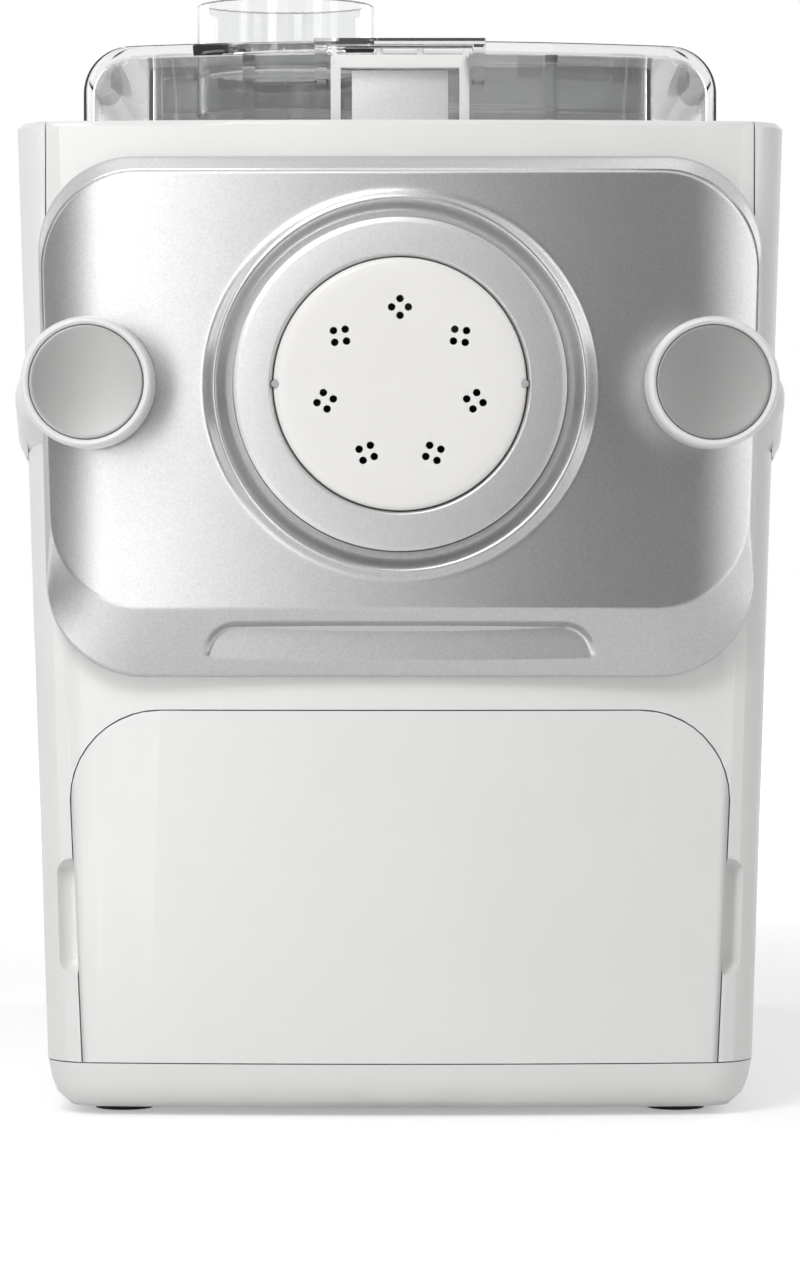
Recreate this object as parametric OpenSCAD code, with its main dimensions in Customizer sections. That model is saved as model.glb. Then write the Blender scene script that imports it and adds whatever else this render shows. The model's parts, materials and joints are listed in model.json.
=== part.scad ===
// Electric pasta maker: a tall tapered housing with a mixing chamber under a clear lid, an extruding
// screw that pushes dough through a shaping disc in the front panel, and a storage drawer below.
// Frame: X to the right seen from the front, the front faces -Y, Z up, origin under the middle.

/* [Housing] */
// Width of the housing across its top edge
top_w = 225.6; // [200:1:250]
// Width of the housing at the seam above the base tray
base_w = 207.4; // [185:1:225]
// Depth of the whole machine, from the knob faces to the rear rim
overall_d = 404; // [390:1:430]
// Height of the housing's top edge
body_h = 290.5; // [285:1:315]
// Height of the seam between the base tray and the housing
base_h = 16; // [14:1:22]
// How far the housing's front face sits behind the knob faces
front_setback = 36; // [34:1:42]
// Radius of the housing's upright corners
corner_r = 16; // [10:1:24]
// Radius of the gentle bulge across the front
bulge_r = 1000; // [700:50:2000]
// Thickness of the moulded walls
wall = 3; // [2:0.5:4]
// Visible seam between two housing pieces
seam = 0.35; // [0.2:0.05:0.8]
// Height of the rubber feet below the base tray
foot_h = 2.5; // [2:0.5:6]

/* [Front panel] */
// Half width of the panel at its top
panel_top_hw = 105; // [95:1:110]
// Half width of the panel at its bottom
panel_bot_hw = 102.6; // [92:1:108]
// Distance of the panel's upper edge below the housing's top edge
panel_drop = 10.9; // [8:0.1:18]
// Height of the panel's lower edge
panel_bot = 128.5; // [124:1:140]
// Radius of the panel's corners
panel_r = 28; // [18:1:34]
// How far the panel's face stands out of the housing
panel_proud = 11; // [9:1:14]
// Height of the sloping band along the panel's lower edge
band_h = 20; // [16:1:26]
// Height of the bevel along the panel's upper edge
bevel_h = 5; // [3:1:8]
// Half width of the grip recess in the lower band
grip_hw = 57.6; // [40:1:65]

/* [Extruder] */
// Height of the extruding axis
axis_z = 213; // [210:1:220]
// Radius of the shaping disc's visible face
disc_r = 36.3; // [34:0.1:38]
// Outer radius of the ring that holds the disc
ring_r = 48; // [46:0.5:52]
// Radius of the round ridge pressed into the panel
ridge_r = 55.4; // [54:0.2:60]
// Bore radius of the extruding tube
tube_bore_r = 28; // [26:0.5:29]
// Pitch of the extruding screw
screw_pitch = 27; // [22:1:34]
// Radial gap between the screw and its tube
screw_gap = 0.5; // [0.3:0.1:1]
// Inner radius of the mixing chamber
chamber_r = 66; // [60:1:68]
// Radial gap between the paddle and the chamber
paddle_gap = 2.5; // [1.5:0.5:5]
// Radius of the drive shaft
shaft_r = 8; // [6:0.5:9]

/* [Knobs] */
// Distance of each knob's axis from the middle
knob_x = 89; // [86:0.5:93]
// Radius of the knob's rim
knob_r = 18.8; // [17:0.1:20]
// Radius of the knob's inset cap
knob_cap_r = 16.3; // [14:0.1:17]
// Radius of the clamping screw
knob_screw_r = 4; // [3:0.5:5]

/* [Lid] */
// Half width of the lid
lid_hw = 94; // [88:1:98]
// Height of the lid above the housing's top edge
lid_h = 26; // [24:0.5:38]
// Rise of the lid's top from its shoulders to the middle
lid_crown = 1.6; // [0.8:0.1:1.8]
// Radius of the lid's rounded shoulders
lid_r = 14; // [10:1:20]
// Thickness of the clear moulding
lid_wall = 2.6; // [2:0.2:3]
// Outer radius of the pouring spout
spout_r = 27.7; // [22:0.5:30]
// Height of the spout's rim above the lid
spout_h = 18.5; // [12:0.5:30]

/* [Drawer] */
// Half width of the drawer's front at its top
drawer_top_hw = 96; // [88:1:97]
// Half width of the drawer's front at its bottom
drawer_bot_hw = 92.4; // [86:1:94]
// Height of the drawer's upper edge
drawer_top = 118.5; // [112:1:122]
// Radius of the drawer's upper corners
drawer_r = 26; // [14:1:32]
// Thickness of the drawer's front
drawer_front_t = 14; // [10:1:18]

/* [Gears] */
// Module of the output pair
out_module = 2; // [1.5:0.25:2]
// Teeth on the output wheel
out_teeth = 48; // [44:1:48]
// Teeth on the idler's pinion
idler_pinion_teeth = 16; // [15:1:18]
// Module of the motor pair
motor_module = 1.25; // [1:0.25:1.25]
// Teeth on the idler's wheel
idler_wheel_teeth = 60; // [56:1:60]
// Teeth on the motor's pinion
motor_teeth = 15; // [15:1:18]
// Backlash of every pair, on the pitch circle
backlash = 0.3; // [0.2:0.05:0.5]

/* [Control panel] */
// Length of the control panel along the side
control_l = 150; // [120:1:170]
// Height of the control panel
control_h = 44; // [36:1:48]
// Travel of the push buttons
button_travel = 1; // [0.6:0.1:1.5]

/* [Hidden] */

$fn = 48;
eps = 0.01;
gap = 0.3;                                  // between neighbouring pieces
run = 0.05;                                 // radial clearance of a running fit

front_y = -overall_d / 2 + front_setback;   // housing front face on the middle line
rear_y = overall_d / 2;
side_lean = atan((top_w - base_w) / 2 / (body_h - base_h));
top_round = 1.6;                            // rounding along the top edge

bezel_hw = 103.3;                           // half width of the upper front plate
bezel_inset = 1;                            // how far it stays inside the panel's lower outline

panel_top = body_h - panel_drop;            // height of the panel's upper edge
panel_face = front_y - panel_proud;         // panel face on the middle line
panel_edge = front_y - 2.2;                 // where the panel's side wall meets its bevel
panel_t = 3;
face_inset = 1.2;                           // bevel width along the panel's sides
grip_bot = panel_bot + 4.9;                 // scooped recess in the lower band
grip_h = 11.4;
grip_r = 10.4;
grip_floor = front_y - 4.3;                 // meets the band's slope along the recess's lower edge

disc_front = panel_face - 8.5;
disc_flange_t = 4;
disc_t = 13.5;
disc_back = disc_front + disc_t;
disc_flange_r = disc_r + 2.4;
ring_front = disc_front + 1.5;
ring_back = front_y - 1;
tube_front = disc_back + gap;
tube_r = tube_bore_r + 3;
chamber_wall = 2.5;
chamber_front = front_y + 69;               // outside of the chamber's front wall
chamber_l = 136;
chamber_back = chamber_front + chamber_l;
tube_end = chamber_front + 36;
screw_r = tube_bore_r - screw_gap;
screw_core_r = 10;
paddle_front = tube_end + 3;
paddle_back = chamber_back - chamber_wall - 6;
paddle_r = chamber_r - paddle_gap;
deck_t = 3;
chamber_rim = body_h - deck_t - gap;        // top of the chamber's flange

bulk_y = chamber_back + gap;                // steel bulkhead behind the chamber
bulk_t = 2.5;
case_y = bulk_y + bulk_t + gap;             // gearbox case, front face
case_wall = 4;
case_d = 44;
cover_y = case_y + case_d + gap;
cover_t = 4;
out_y = case_y + case_wall + 4;             // output pair
out_t = 12;
mot_y = out_y + out_t + 5;                  // motor pair
mot_t = 8;
idler_drop = out_module * (out_teeth + idler_pinion_teeth) / 2;
motor_drop = motor_module * (idler_wheel_teeth + motor_teeth) / 2;
idler_z = axis_z - idler_drop;
motor_z = idler_z - motor_drop;
axle_r = 5;
bush_r = shaft_r + 4;
motor_shaft_r = 3;
motor_r = 36;
motor_front = cover_y + cover_t + gap;
motor_l = 74;
motor_back = motor_front + motor_l;
fan_y = motor_back + 5;
fan_t = 10;

knob_front = -overall_d / 2;
knob_back = panel_face + bulge(knob_x) - gap;
knob_l = knob_back - knob_front;
neck_r = 16.8;
rim_r = (knob_r - knob_cap_r) / 2;          // rounding of the knob's rim
bracket_hh = 15;                            // half height of a bracket's boss
bracket_front = panel_face + bulge(knob_x) + panel_t + gap;
bracket_x = top_w / 2 - gap;                // outermost face of a bracket

lid_top = body_h + lid_h;
spout_top = lid_top + spout_h;              // the machine's highest point
lid_front = front_y + 30;
lid_back = chamber_back + 19;
lid_bot = body_h + 0.5;
lid_rim_top = lid_top - (lid_crown + lid_wall) / 2;     // inside the crowned top plate all over
lid_edge = [[0, 3.8, 6.8], [0.9, 1.3, 2.6], [3.6, 0, 0]];   // rounded edge: depth, side, top
hinge_y = lid_back + 5.2;
hinge_z = body_h + 6.5;
barrel_r = 4.5;
hinge_pin_r = 2;
spout_x = -35.7;
spout_y = front_y + 106;
spout_bot = lid_top - 16;
spout_collar = 1.2;
// flat seat of the spout's collar, at the lowest point of the crowned top that it covers
spout_seat = lid_top - lid_crown * pow((abs(spout_x) + spout_r + spout_collar) / (lid_hw - lid_r), 2);
lid_plug_hw = chamber_r + 11;               // inner rim of the lid, around the chamber's mouth
lid_plug_front = chamber_front - 4;
lid_plug_back = chamber_back + 3;

latch_y = front_y + 20;
latch_z = body_h - 6.5;
latch_hw = 20.4;
latch_top = lid_top - 5.4;
latch_leg = 2.9;
latch_t = 4;
latch_bar = 3.8;
latch_pin_r = 1.5;

drawer_back = chamber_back - 10;
tray_hw = 78;
tray_bot = base_h + 6;
tray_top = 95;
tray_wall = 2.2;
drawer_front_back = front_y + drawer_front_t;
scallop_bot = 40.6;
scallop_top = 76;

control_y = 20;
control_z = 253;
control_r = 9;
control_t = 3;
board_gap = 11;
button_r = 5.5;
start_r = 10;
button_pitch = 17;
button_y0 = -13;
window_l = 44;
window_y = -46;
start_y = control_l / 2 - 17;

rear_face = rear_y - 2;                     // outside of the rear panel
rear_hw = 86;
rear_bot = 26;
rear_top = 268;
rear_r = 8;
gland_z = 44;
gland_x = -60;
gland_bore_r = 3.6;
gland_r = 6.5;

foot_x = base_w / 2 - 22;
foot_y_front = front_y + 30;
foot_y_rear = rear_y - 30;
foot_r = 9;
screw_x = base_w / 2 - 13.5;
lip_t = 3;                                  // lip that carries the rear panel

// ---------------------------------------------------------------- shared shapes

// half width of the tapered housing at height z
function half_w(z) = base_w / 2 + (top_w - base_w) / 2 * (z - base_h) / (body_h - base_h);
// how far the bulged front falls back at x
function bulge(x) = bulge_r - sqrt(bulge_r * bulge_r - x * x);
function arc(cx, cy, r, a0, a1, n = 6) =
    [for (i = [0:n]) let (a = a0 + (a1 - a0) * i / n) [cx + r * cos(a), cy + r * sin(a)]];

// outline of the housing seen from above at height z: bulged front, round corners, flat rear
function plan(z, inset = 0, widen = 0) =
    let (r = max(corner_r - inset, 1), cx = half_w(z) - inset + widen - r,
         fy = front_y + inset, by = rear_y - inset - r, ly = fy + bulge(cx) + r)
    concat(
        [for (i = [-6:6]) [cx * i / 6, fy + bulge(cx * i / 6)]],
        arc(cx, ly, r, -80, 0), arc(cx, by, r, 0, 90),
        arc(-cx, by, r, 90, 180), arc(-cx, ly, r, 180, 260));

module level(z, inset = 0)
    translate([0, 0, z]) linear_extrude(eps) polygon(plan(z, inset));

// the tapered block between two heights, moved inwards by inset
module form(z0, z1, inset)
    hull() {
        level(z0, inset);
        level(z1 - eps, inset);
    }

module outer_form()
    hull() {
        level(base_h);
        level(body_h - top_round);
        level(body_h - eps, top_round);
    }

module block(x0, x1, y0, y1, z0, z1)
    translate([x0, y0, z0]) cube([x1 - x0, y1 - y0, z1 - z0]);

// a flat shape drawn in X and Z, carried from y0 to y1
module along_y(y0, y1)
    translate([0, y1, 0]) rotate([90, 0, 0]) linear_extrude(y1 - y0) children();

module rod_y(x, z, r, y0, y1)
    translate([x, y1, z]) rotate([90, 0, 0]) cylinder(r = r, h = y1 - y0);

module rod_x(y, z, r, x0, x1)
    translate([x0, y, z]) rotate([0, 90, 0]) cylinder(r = r, h = x1 - x0);

// rectangle with round corners, centred
module round_rect(w, h, r) {
    square([w, h - 2 * r], center = true);
    square([w - 2 * r, h], center = true);
    for (x = [-1, 1], y = [-1, 1])
        translate([x * (w / 2 - r), y * (h / 2 - r)]) circle(r);
}

// upright slot with round ends
module slot(w, h) {
    square([w, h - w], center = true);
    for (z = [-1, 1]) translate([0, z * (h - w) / 2]) circle(w / 2);
}

// a ring profile turned about the extruding axis; h counts forwards from the plane y
module turned_y(x, y, z)
    translate([x, y, z]) rotate([90, 0, 0]) rotate_extrude($fn = 96) children();

module mirrored() {
    children();
    mirror([1, 0, 0]) children();
}

// ---------------------------------------------------------------- housing

// the drawer's outline in the front view, grown by g
function drawer_outline(g = 0) =
    let (top = drawer_top + g, hw = drawer_top_hw + g, r = drawer_r + g)
    concat([[-drawer_bot_hw - g, base_h - 2], [drawer_bot_hw + g, base_h - 2]],
           arc(hw - r, top - r, r, 0, 90, 10), arc(-hw + r, top - r, r, 90, 180, 10));

// finger recess beside the drawer's front
module scallop(s)
    translate([s * (drawer_bot_hw + 3.6), front_y + 1, (scallop_bot + scallop_top) / 2])
        rotate([0, side_lean * s, 0])
            hull() for (z = [-1, 1]) translate([0, 0, z * 12.2]) scale([1, 2, 1]) sphere(5.4, $fn = 24);

// outline of the upper front plate, grown by g: open to view above the panel, hidden by the rest of it
function bezel_outline(g) =
    let (r = panel_r - bezel_inset + g, bx = panel_bot_hw - panel_r, z = panel_bot + panel_r)
    concat([[bezel_hw + g, panel_top - panel_r], [bezel_hw + g, body_h + 1],
            [-bezel_hw - g, body_h + 1], [-bezel_hw - g, panel_top - panel_r]],
           arc(-bx, z, r, 180, 270, 8), arc(bx, z, r, 270, 360, 8));

module housing_shell() color("whitesmoke")
    difference() {
        union() {
            difference() {
                outer_form();
                form(base_h - 1, body_h + 1, wall);
            }
            // solid pockets behind the finger recesses, and pads for the rear panel's screws
            intersection() {
                outer_form();
                union() {
                    for (s = [-1, 1])
                        translate([s * (drawer_bot_hw + 5.5), front_y + 10, (scallop_bot + scallop_top) / 2])
                            cube([10, 18, scallop_top - scallop_bot + 8], center = true);
                    translate([0, 0, (rear_bot + rear_top) / 2])
                        along_y(rear_face - wall - lip_t, rear_y - 1)
                            round_rect(2 * rear_hw + 12, rear_top - rear_bot + 12, rear_r);
                    for (y = [foot_y_front + 16, foot_y_rear - 16])
                        mirrored() block(screw_x - 5, screw_x + 12, y - 5, y + 5, base_h, base_h + 9);
                }
            }
        }
        along_y(front_y - 5, front_y + 13) polygon(bezel_outline(seam));
        along_y(front_y - 5, front_y + 40) polygon(drawer_outline(seam));
        scallop(-1);
        scallop(1);
        rear_opening(rear_y + 1);
        on_side() translate([-wall - 8, 0, 0]) side_plate(control_l + 2 * seam, control_h + 2 * seam,
                                                         control_r + seam, wall + 10);
        for (x = [-1, 1], z = [rear_bot + 14, rear_top - 14])
            rod_y(x * (rear_hw - 6), z, 1.5, rear_face - 14, rear_face);
        for (x = [-1, 1], y = [foot_y_front + 16, foot_y_rear - 16])
            translate([x * screw_x, y, base_h - 1]) cylinder(r = 1.65, h = 7.5);
    }

// the recess for the rear panel, and the smaller hole behind it that leaves a lip
module rear_opening(y1) {
    translate([0, 0, (rear_bot + rear_top) / 2]) {
        along_y(rear_face - wall, y1) round_rect(2 * (rear_hw + seam), rear_top - rear_bot + 2 * seam, rear_r);
        along_y(rear_face - 20, y1) round_rect(2 * (rear_hw - 14), rear_top - rear_bot - 12, rear_r);
    }
}

module front_bezel() color("white")
    difference() {
        intersection() {
            outer_form();
            along_y(front_y - 1, front_y + 12) polygon(bezel_outline(0));
        }
        form(base_h, body_h + 1, wall);
        rod_y(0, axis_z, disc_flange_r + 3, front_y - 5, front_y + 10);
        // room for the clamping screws
        for (s = [-1, 1]) rod_y(s * knob_x, axis_z, knob_screw_r + 2.2, front_y - 5, front_y + 20);
    }

module top_deck() color("white") {
    difference() {
        form(body_h - deck_t, body_h - eps, wall + gap);
        block(-chamber_r, chamber_r, chamber_front + chamber_wall, chamber_back - chamber_wall,
              body_h - 20, body_h + 5);
        for (s = [-1, 1])
            block(s * (latch_hw - 1.5) - 3, s * (latch_hw - 1.5) + 3, latch_y - 8, latch_y + 4,
                  body_h - 20, body_h + 5);
    }
    // latch ears under the deck
    for (s = [-1, 1]) difference() {
        block(s * (latch_hw + 4.5) - 2, s * (latch_hw + 4.5) + 2, latch_y - 4, latch_y + 4,
              latch_z - 4, body_h - deck_t + eps);
        rod_x(latch_y, latch_z, latch_pin_r + 0.02, -40, 40);
    }
    // hinge ears behind the lid
    for (s = [-1, 1], x = [44, 76]) difference() {
        union() {
            block(s * x - 5, s * x + 5, hinge_y - 1, hinge_y + barrel_r + 2, body_h - eps, hinge_z);
            rod_x(hinge_y, hinge_z, barrel_r, s * x - 5, s * x + 5);
            block(s * x - 5, s * x + 5, hinge_y - barrel_r + 1.5, hinge_y + 1, body_h - eps, hinge_z - 2);
        }
        rod_x(hinge_y, hinge_z, hinge_pin_r + 0.02, -100, 100);
    }
}

module rear_panel() color("whitesmoke")
    difference() {
        translate([0, 0, (rear_bot + rear_top) / 2])
            along_y(rear_face - wall + gap, rear_face) round_rect(2 * rear_hw, rear_top - rear_bot, rear_r);
        // cooling slots in front of the fan, and a second field above them
        for (row = [0, 1], i = [-7:7])
            translate([i * 8, rear_face, motor_z - 4 + row * 84])
                rotate([90, 0, 0]) translate([0, 0, -2]) linear_extrude(10) slot(3.4, 52);
        rod_y(gland_x, gland_z, gland_r + 0.05, rear_face - 10, rear_face + 5);
        for (x = [-1, 1], z = [rear_bot + 14, rear_top - 14])
            rod_y(x * (rear_hw - 6), z, 1.7, rear_face - 10, rear_face + 5);
    }

module base_tray() color("white")
    difference() {
        hull() {
            level(base_h - seam - eps, 0.1);
            level(base_h - 6, 1.0);
            level(base_h - 10, 2.6);
            level(foot_h, 6.5);
        }
        form(foot_h + wall, base_h + 5, wall + 3.6);
        for (x = [-1, 1], y = [foot_y_front, foot_y_rear])
            translate([x * foot_x, y, foot_h - 1]) cylinder(r = foot_r / 2, h = wall + 2);
        for (x = [-1, 1], y = [foot_y_front + 16, foot_y_rear - 16])
            translate([x * screw_x, y, foot_h - 1]) cylinder(r = 1.7, h = wall + 2);
    }

module rubber_feet() color("dimgray")
    for (x = [-1, 1], y = [foot_y_front, foot_y_rear]) translate([x * foot_x, y, 0]) {
        cylinder(r1 = foot_r - 0.6, r2 = foot_r, h = 0.8);
        translate([0, 0, 0.8]) cylinder(r = foot_r, h = foot_h - 0.8);
        translate([0, 0, foot_h - eps]) cylinder(r = foot_r / 2 - 0.05, h = wall);
    }

// ---------------------------------------------------------------- knob brackets

// bracket that wraps round the front corner: a boss behind the knob, drawn out into a strap that
// falls away along the side of the housing
module bracket_right() {
    strap_z = axis_z - 13;
    difference() {
        union() {
            hull() {
                rod_y(knob_x + 1, axis_z, bracket_hh, bracket_front + 1, front_y + 8);
                rod_y(knob_x + 1, axis_z, bracket_hh - 1, bracket_front, front_y + 8);
                translate([bracket_x - 10, bracket_front + 12, axis_z - 3]) sphere(10, $fn = 24);
                translate([bracket_x - 10, front_y + 22, strap_z - 1]) sphere(10, $fn = 24);
            }
            hull() {
                translate([bracket_x - 10, bracket_front + 12, axis_z - 4]) sphere(10, $fn = 24);
                translate([bracket_x - 7, front_y + 40, strap_z]) scale([1, 1.6, 1.9]) sphere(7, $fn = 24);
                translate([bracket_x - 10, front_y + 26, strap_z - 4]) sphere(9, $fn = 24);
            }
        }
        form(base_h, body_h, -0.1);
        rod_y(knob_x, axis_z, knob_screw_r + 2, bracket_front + 1.5, front_y + 20);
        rod_y(knob_x, axis_z, knob_screw_r + 0.6, bracket_front - 5, front_y + 20);
    }
}

module knob_bracket_right() color("white") bracket_right();
module knob_bracket_left() color("white") mirror([1, 0, 0]) bracket_right();

module knob_inserts() color("goldenrod")
    for (s = [-1, 1]) difference() {
        rod_y(s * knob_x, axis_z, knob_screw_r + 1.95, bracket_front + 1.6, front_y + bulge(knob_x) + 2.5);
        rod_y(s * knob_x, axis_z, knob_screw_r + 0.06, bracket_front - 5, front_y + 20);
    }

// ---------------------------------------------------------------- front panel

// outline of the panel in the front view, moved inwards by i
function panel_outline(i, top, low, side = 0) =
    let (r = panel_r - i, tx = panel_top_hw - side - panel_r, bx = panel_bot_hw - side - panel_r)
    concat(arc(tx, top - panel_r, r, 0, 90, 8), arc(-tx, top - panel_r, r, 90, 180, 8),
           arc(-bx, low + panel_r, r, 180, 270, 8), arc(bx, low + panel_r, r, 270, 360, 8));

// outer shape of the panel: a rim, a bevel and a long lower slope under a bulged face
module panel_form(i)
    intersection() {
        hull() {
            along_y(panel_edge + i, front_y + 9) polygon(panel_outline(i, panel_top, panel_bot));
            along_y(panel_face + i - 1, panel_face + i - 0.8)
                polygon(panel_outline(i, panel_top - bevel_h, panel_bot + band_h, face_inset));
        }
        translate([0, panel_face + i + bulge_r, 0]) cylinder(r = bulge_r, h = 400, $fn = 720);
    }

// outline of the grip recess, grown by g: a straight lower edge and quarter-round shoulders
function grip_outline(g) =
    let (r = grip_r + g, cx = grip_hw - grip_r, z = grip_bot + grip_h - grip_r)
    concat([[-grip_hw - g, grip_bot - g], [grip_hw + g, grip_bot - g]],
           arc(cx, z, r, 0, 90, 8), arc(-cx, z, r, 90, 180, 8));

module front_panel() color("silver")
    difference() {
        union() {
            difference() {
                panel_form(0);
                panel_form(panel_t);
            }
            // solid boss round the disc, ridge and backing of the grip
            rod_y(0, axis_z, ridge_r + 3, panel_face + 1.7, ring_back - 4);
            turned_y(0, panel_face + 1.4, axis_z) translate([ridge_r, 0]) circle(2.4, $fn = 32);
            intersection() {
                along_y(panel_face, front_y + 7) polygon(grip_outline(2.5));
                panel_form(0);
            }
        }
        // rear side follows the housing
        form(base_h, body_h, -gap);
        // groove between ridge and ring, then the seat of the ring
        difference() {
            rod_y(0, axis_z, ridge_r - 2.9, panel_face - 6, panel_face + 4);
            rod_y(0, axis_z, ring_r - 1, panel_face - 7, panel_face + 5);
        }
        rod_y(0, axis_z, ring_r + 0.15, panel_face - 7, front_y + 5);
        along_y(panel_face - 2, grip_floor) polygon(grip_outline(0));
        // flat seats and holes of the clamping screws, and notches in the side walls for the brackets
        for (s = [-1, 1]) {
            rod_y(s * knob_x, axis_z, neck_r + 0.6, panel_face - 5, knob_back + gap);
            rod_y(s * knob_x, axis_z, knob_screw_r + 0.3, panel_face - 5, front_y + 12);
            block(min(s * knob_x, s * 120), max(s * knob_x, s * 120),
                  bracket_front - gap, front_y + 12, axis_z - bracket_hh - 12, axis_z + bracket_hh + 1);
        }
    }

module disc_ring() color("gainsboro")
    turned_y(0, ring_back, axis_z) {
        h = ring_back - ring_front;
        lip = ring_back - (disc_back - disc_flange_t) + gap;
        polygon([
            [disc_flange_r + 0.5, 0], [ring_r, 0], [ring_r, h - 2.6], [ring_r - 1, h - 1.2],
            [ring_r - 2.6, h - 0.5], [disc_r + 3, h], [disc_r + 1.1, h], [disc_r + 0.6, h - 0.5],
            [disc_r + 0.6, lip], [disc_flange_r + 0.5, lip]
        ]);
    }

// one group of small extruding holes, drawn about the middle of a disc
module hole_group(n, r, size)
    for (k = [0:n - 1]) rotate(k * 360 / n) translate([r, 0]) circle(size);

groups = 7;
group_r = 22;
hole_r = 1.1;

// disc with seven groups of holes; the back is hollowed behind each group
module disc(holes) {
    difference() {
        union() {
            turned_y(0, 0, 0) polygon([
                [0, 0], [disc_flange_r, 0], [disc_flange_r, disc_flange_t], [disc_r, disc_flange_t],
                [disc_r, disc_t - 1.4], [disc_r - 0.5, disc_t - 0.6], [disc_r - 1.6, disc_t - 0.2],
                [disc_r - 4, disc_t], [0, disc_t]
            ]);
        }
        for (g = [0:groups - 1]) rotate([0, g * 360 / groups, 0]) translate([0, 0, group_r]) {
            rod_y(0, 0, 4.6, -disc_t + 4, 1);
            if (holes) along_y(-disc_t - 1, 1) hole_group(4, 2.4, hole_r);
        }
        for (s = [-1, 1]) rod_y(s * disc_r, 0, 1.2, -disc_t - 1, -disc_t + 3);
    }
}

module shaping_disc() color("white") translate([0, disc_back, axis_z]) disc(true);

// ---------------------------------------------------------------- knobs

// knob profile: radius against height above its back face
function knob_profile() = concat(
    [[knob_screw_r + 0.1, 0], [neck_r, 0], [neck_r, 3.4], [knob_r - 0.9, 6.4]],
    [[knob_r, 8]],
    arc(knob_r - rim_r, knob_l - rim_r, rim_r, 0, 180, 10),
    [[knob_cap_r, knob_l - 3.1], [knob_screw_r + 0.1, knob_l - 3.1]]);

module knob(s) turned_y(s * knob_x, knob_back, axis_z) polygon(knob_profile());

// shallow dished cap that sits in the knob's rim
module knob_cap(s) turned_y(s * knob_x, knob_back - knob_l + 3, axis_z)
    polygon([[0, 0], [knob_cap_r - 0.3, 0], [knob_cap_r - 0.3, 1.5], [knob_cap_r - 1.2, 2.0],
             [knob_cap_r - 4, 1.75], [knob_cap_r / 2, 1.35], [0, 1.15]]);

module knob_screw(s) {
    rod_y(s * knob_x, axis_z, knob_screw_r - 0.02, knob_back - knob_l + 3.3, bracket_front + 13);
}

module knob_left() color("white") knob(-1);
module knob_right() color("white") knob(1);
module knob_cap_left() color("darkgray") knob_cap(-1);
module knob_cap_right() color("darkgray") knob_cap(1);
module knob_screw_left() color("silver") knob_screw(-1);
module knob_screw_right() color("silver") knob_screw(1);

// ---------------------------------------------------------------- mixing and extruding

// trough section: a half circle with upright sides
module trough(r, top) {
    translate([0, axis_z]) circle(r, $fn = 96);
    translate([-r, axis_z]) square([2 * r, top - axis_z]);
}

module mixing_chamber() color("ghostwhite")
    difference() {
        union() {
            along_y(chamber_front, chamber_back) trough(chamber_r + chamber_wall, chamber_rim);
            block(-chamber_r - 9, chamber_r + 9, chamber_front - 5, chamber_back - 0.5,
                  chamber_rim - 2.5, chamber_rim);
        }
        along_y(chamber_front + chamber_wall, chamber_back - chamber_wall) trough(chamber_r, body_h + 5);
        rod_y(0, axis_z, tube_r + 0.2, chamber_front - 10, chamber_front + 10);
        rod_y(0, axis_z, shaft_r + 4.2, chamber_back - 10, chamber_back + 5);
    }

module tube_sleeve() color("white")
    difference() {
        union() {
            rod_y(0, axis_z, tube_r + 4, ring_back + 6, chamber_front - gap);
            rod_y(0, axis_z, disc_flange_r + 2.6, ring_back + 2, front_y + wall + 3);
        }
        rod_y(0, axis_z, tube_r + 0.2, ring_back - 5, chamber_front + 5);
        rod_y(0, axis_z, disc_flange_r + 0.4, ring_back - 5, ring_back + 4);
    }

module extruding_tube() color("white")
    difference() {
        union() {
            rod_y(0, axis_z, tube_r, tube_front, tube_end);
            rod_y(0, axis_z, disc_flange_r - 0.2, tube_front, ring_back + 3.6);
        }
        rod_y(0, axis_z, tube_bore_r, tube_front - 5, tube_end + 5);
        // dough falls into the tube through this opening inside the chamber
        block(-tube_r - 1, tube_r + 1, chamber_front + chamber_wall + 2, tube_end + 1,
              axis_z - 6, axis_z + tube_r + 1);
    }

screw_l = tube_end - 4 - (tube_front + 2);

// one turn per pitch: a sector of constant axial thickness is twisted round the core
module extruding_screw() color("white")
    translate([0, tube_end - 4, axis_z]) rotate([90, 0, 0]) {
        cylinder(r = screw_core_r, h = screw_l);
        rotate([0, 0, 20])
            linear_extrude(screw_l, twist = 360 * screw_l / screw_pitch, slices = 64, segments = 16)
                polygon(concat([[0, 0]], arc(0, 0, screw_r, -21, 21, 6)));
        translate([0, 0, -12]) cylinder(r = 6.5, h = 13, $fn = 6);
    }

// hub with three swept arms, each ending in a scraper bar along the chamber's wall
module mixing_paddle() color("white") {
    hub_l = paddle_back - paddle_front;
    difference() {
        union() {
            rod_y(0, axis_z, shaft_r + 4, paddle_front, paddle_back);
            for (k = [0:2]) translate([0, paddle_front + 10 + k * (hub_l - 20) / 2, axis_z])
                rotate([0, k * 120, 0]) {
                    cylinder(r1 = 6, r2 = 4, h = paddle_r - 4);
                    intersection() {
                        translate([-3.2, [-9, -20, -27][k], paddle_r - 9]) cube([6.4, k == 1 ? 40 : 36, 9]);
                        rod_y(0, 0, paddle_r, -60, 60);
                    }
                }
        }
        rod_y(0, axis_z, shaft_r + 0.1, paddle_front + 14, paddle_back + 5);
        translate([0, paddle_front + 6, axis_z]) rotate([90, 0, 0]) cylinder(r = 6.7, h = 20, $fn = 6);
    }
}

// ---------------------------------------------------------------- gear train

// involute of a circle: polar angle between its start and the point at radius r
function involute(base, r) = let (t = sqrt(max(r * r / (base * base) - 1, 0))) t * 180 / PI - atan(t);

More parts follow.
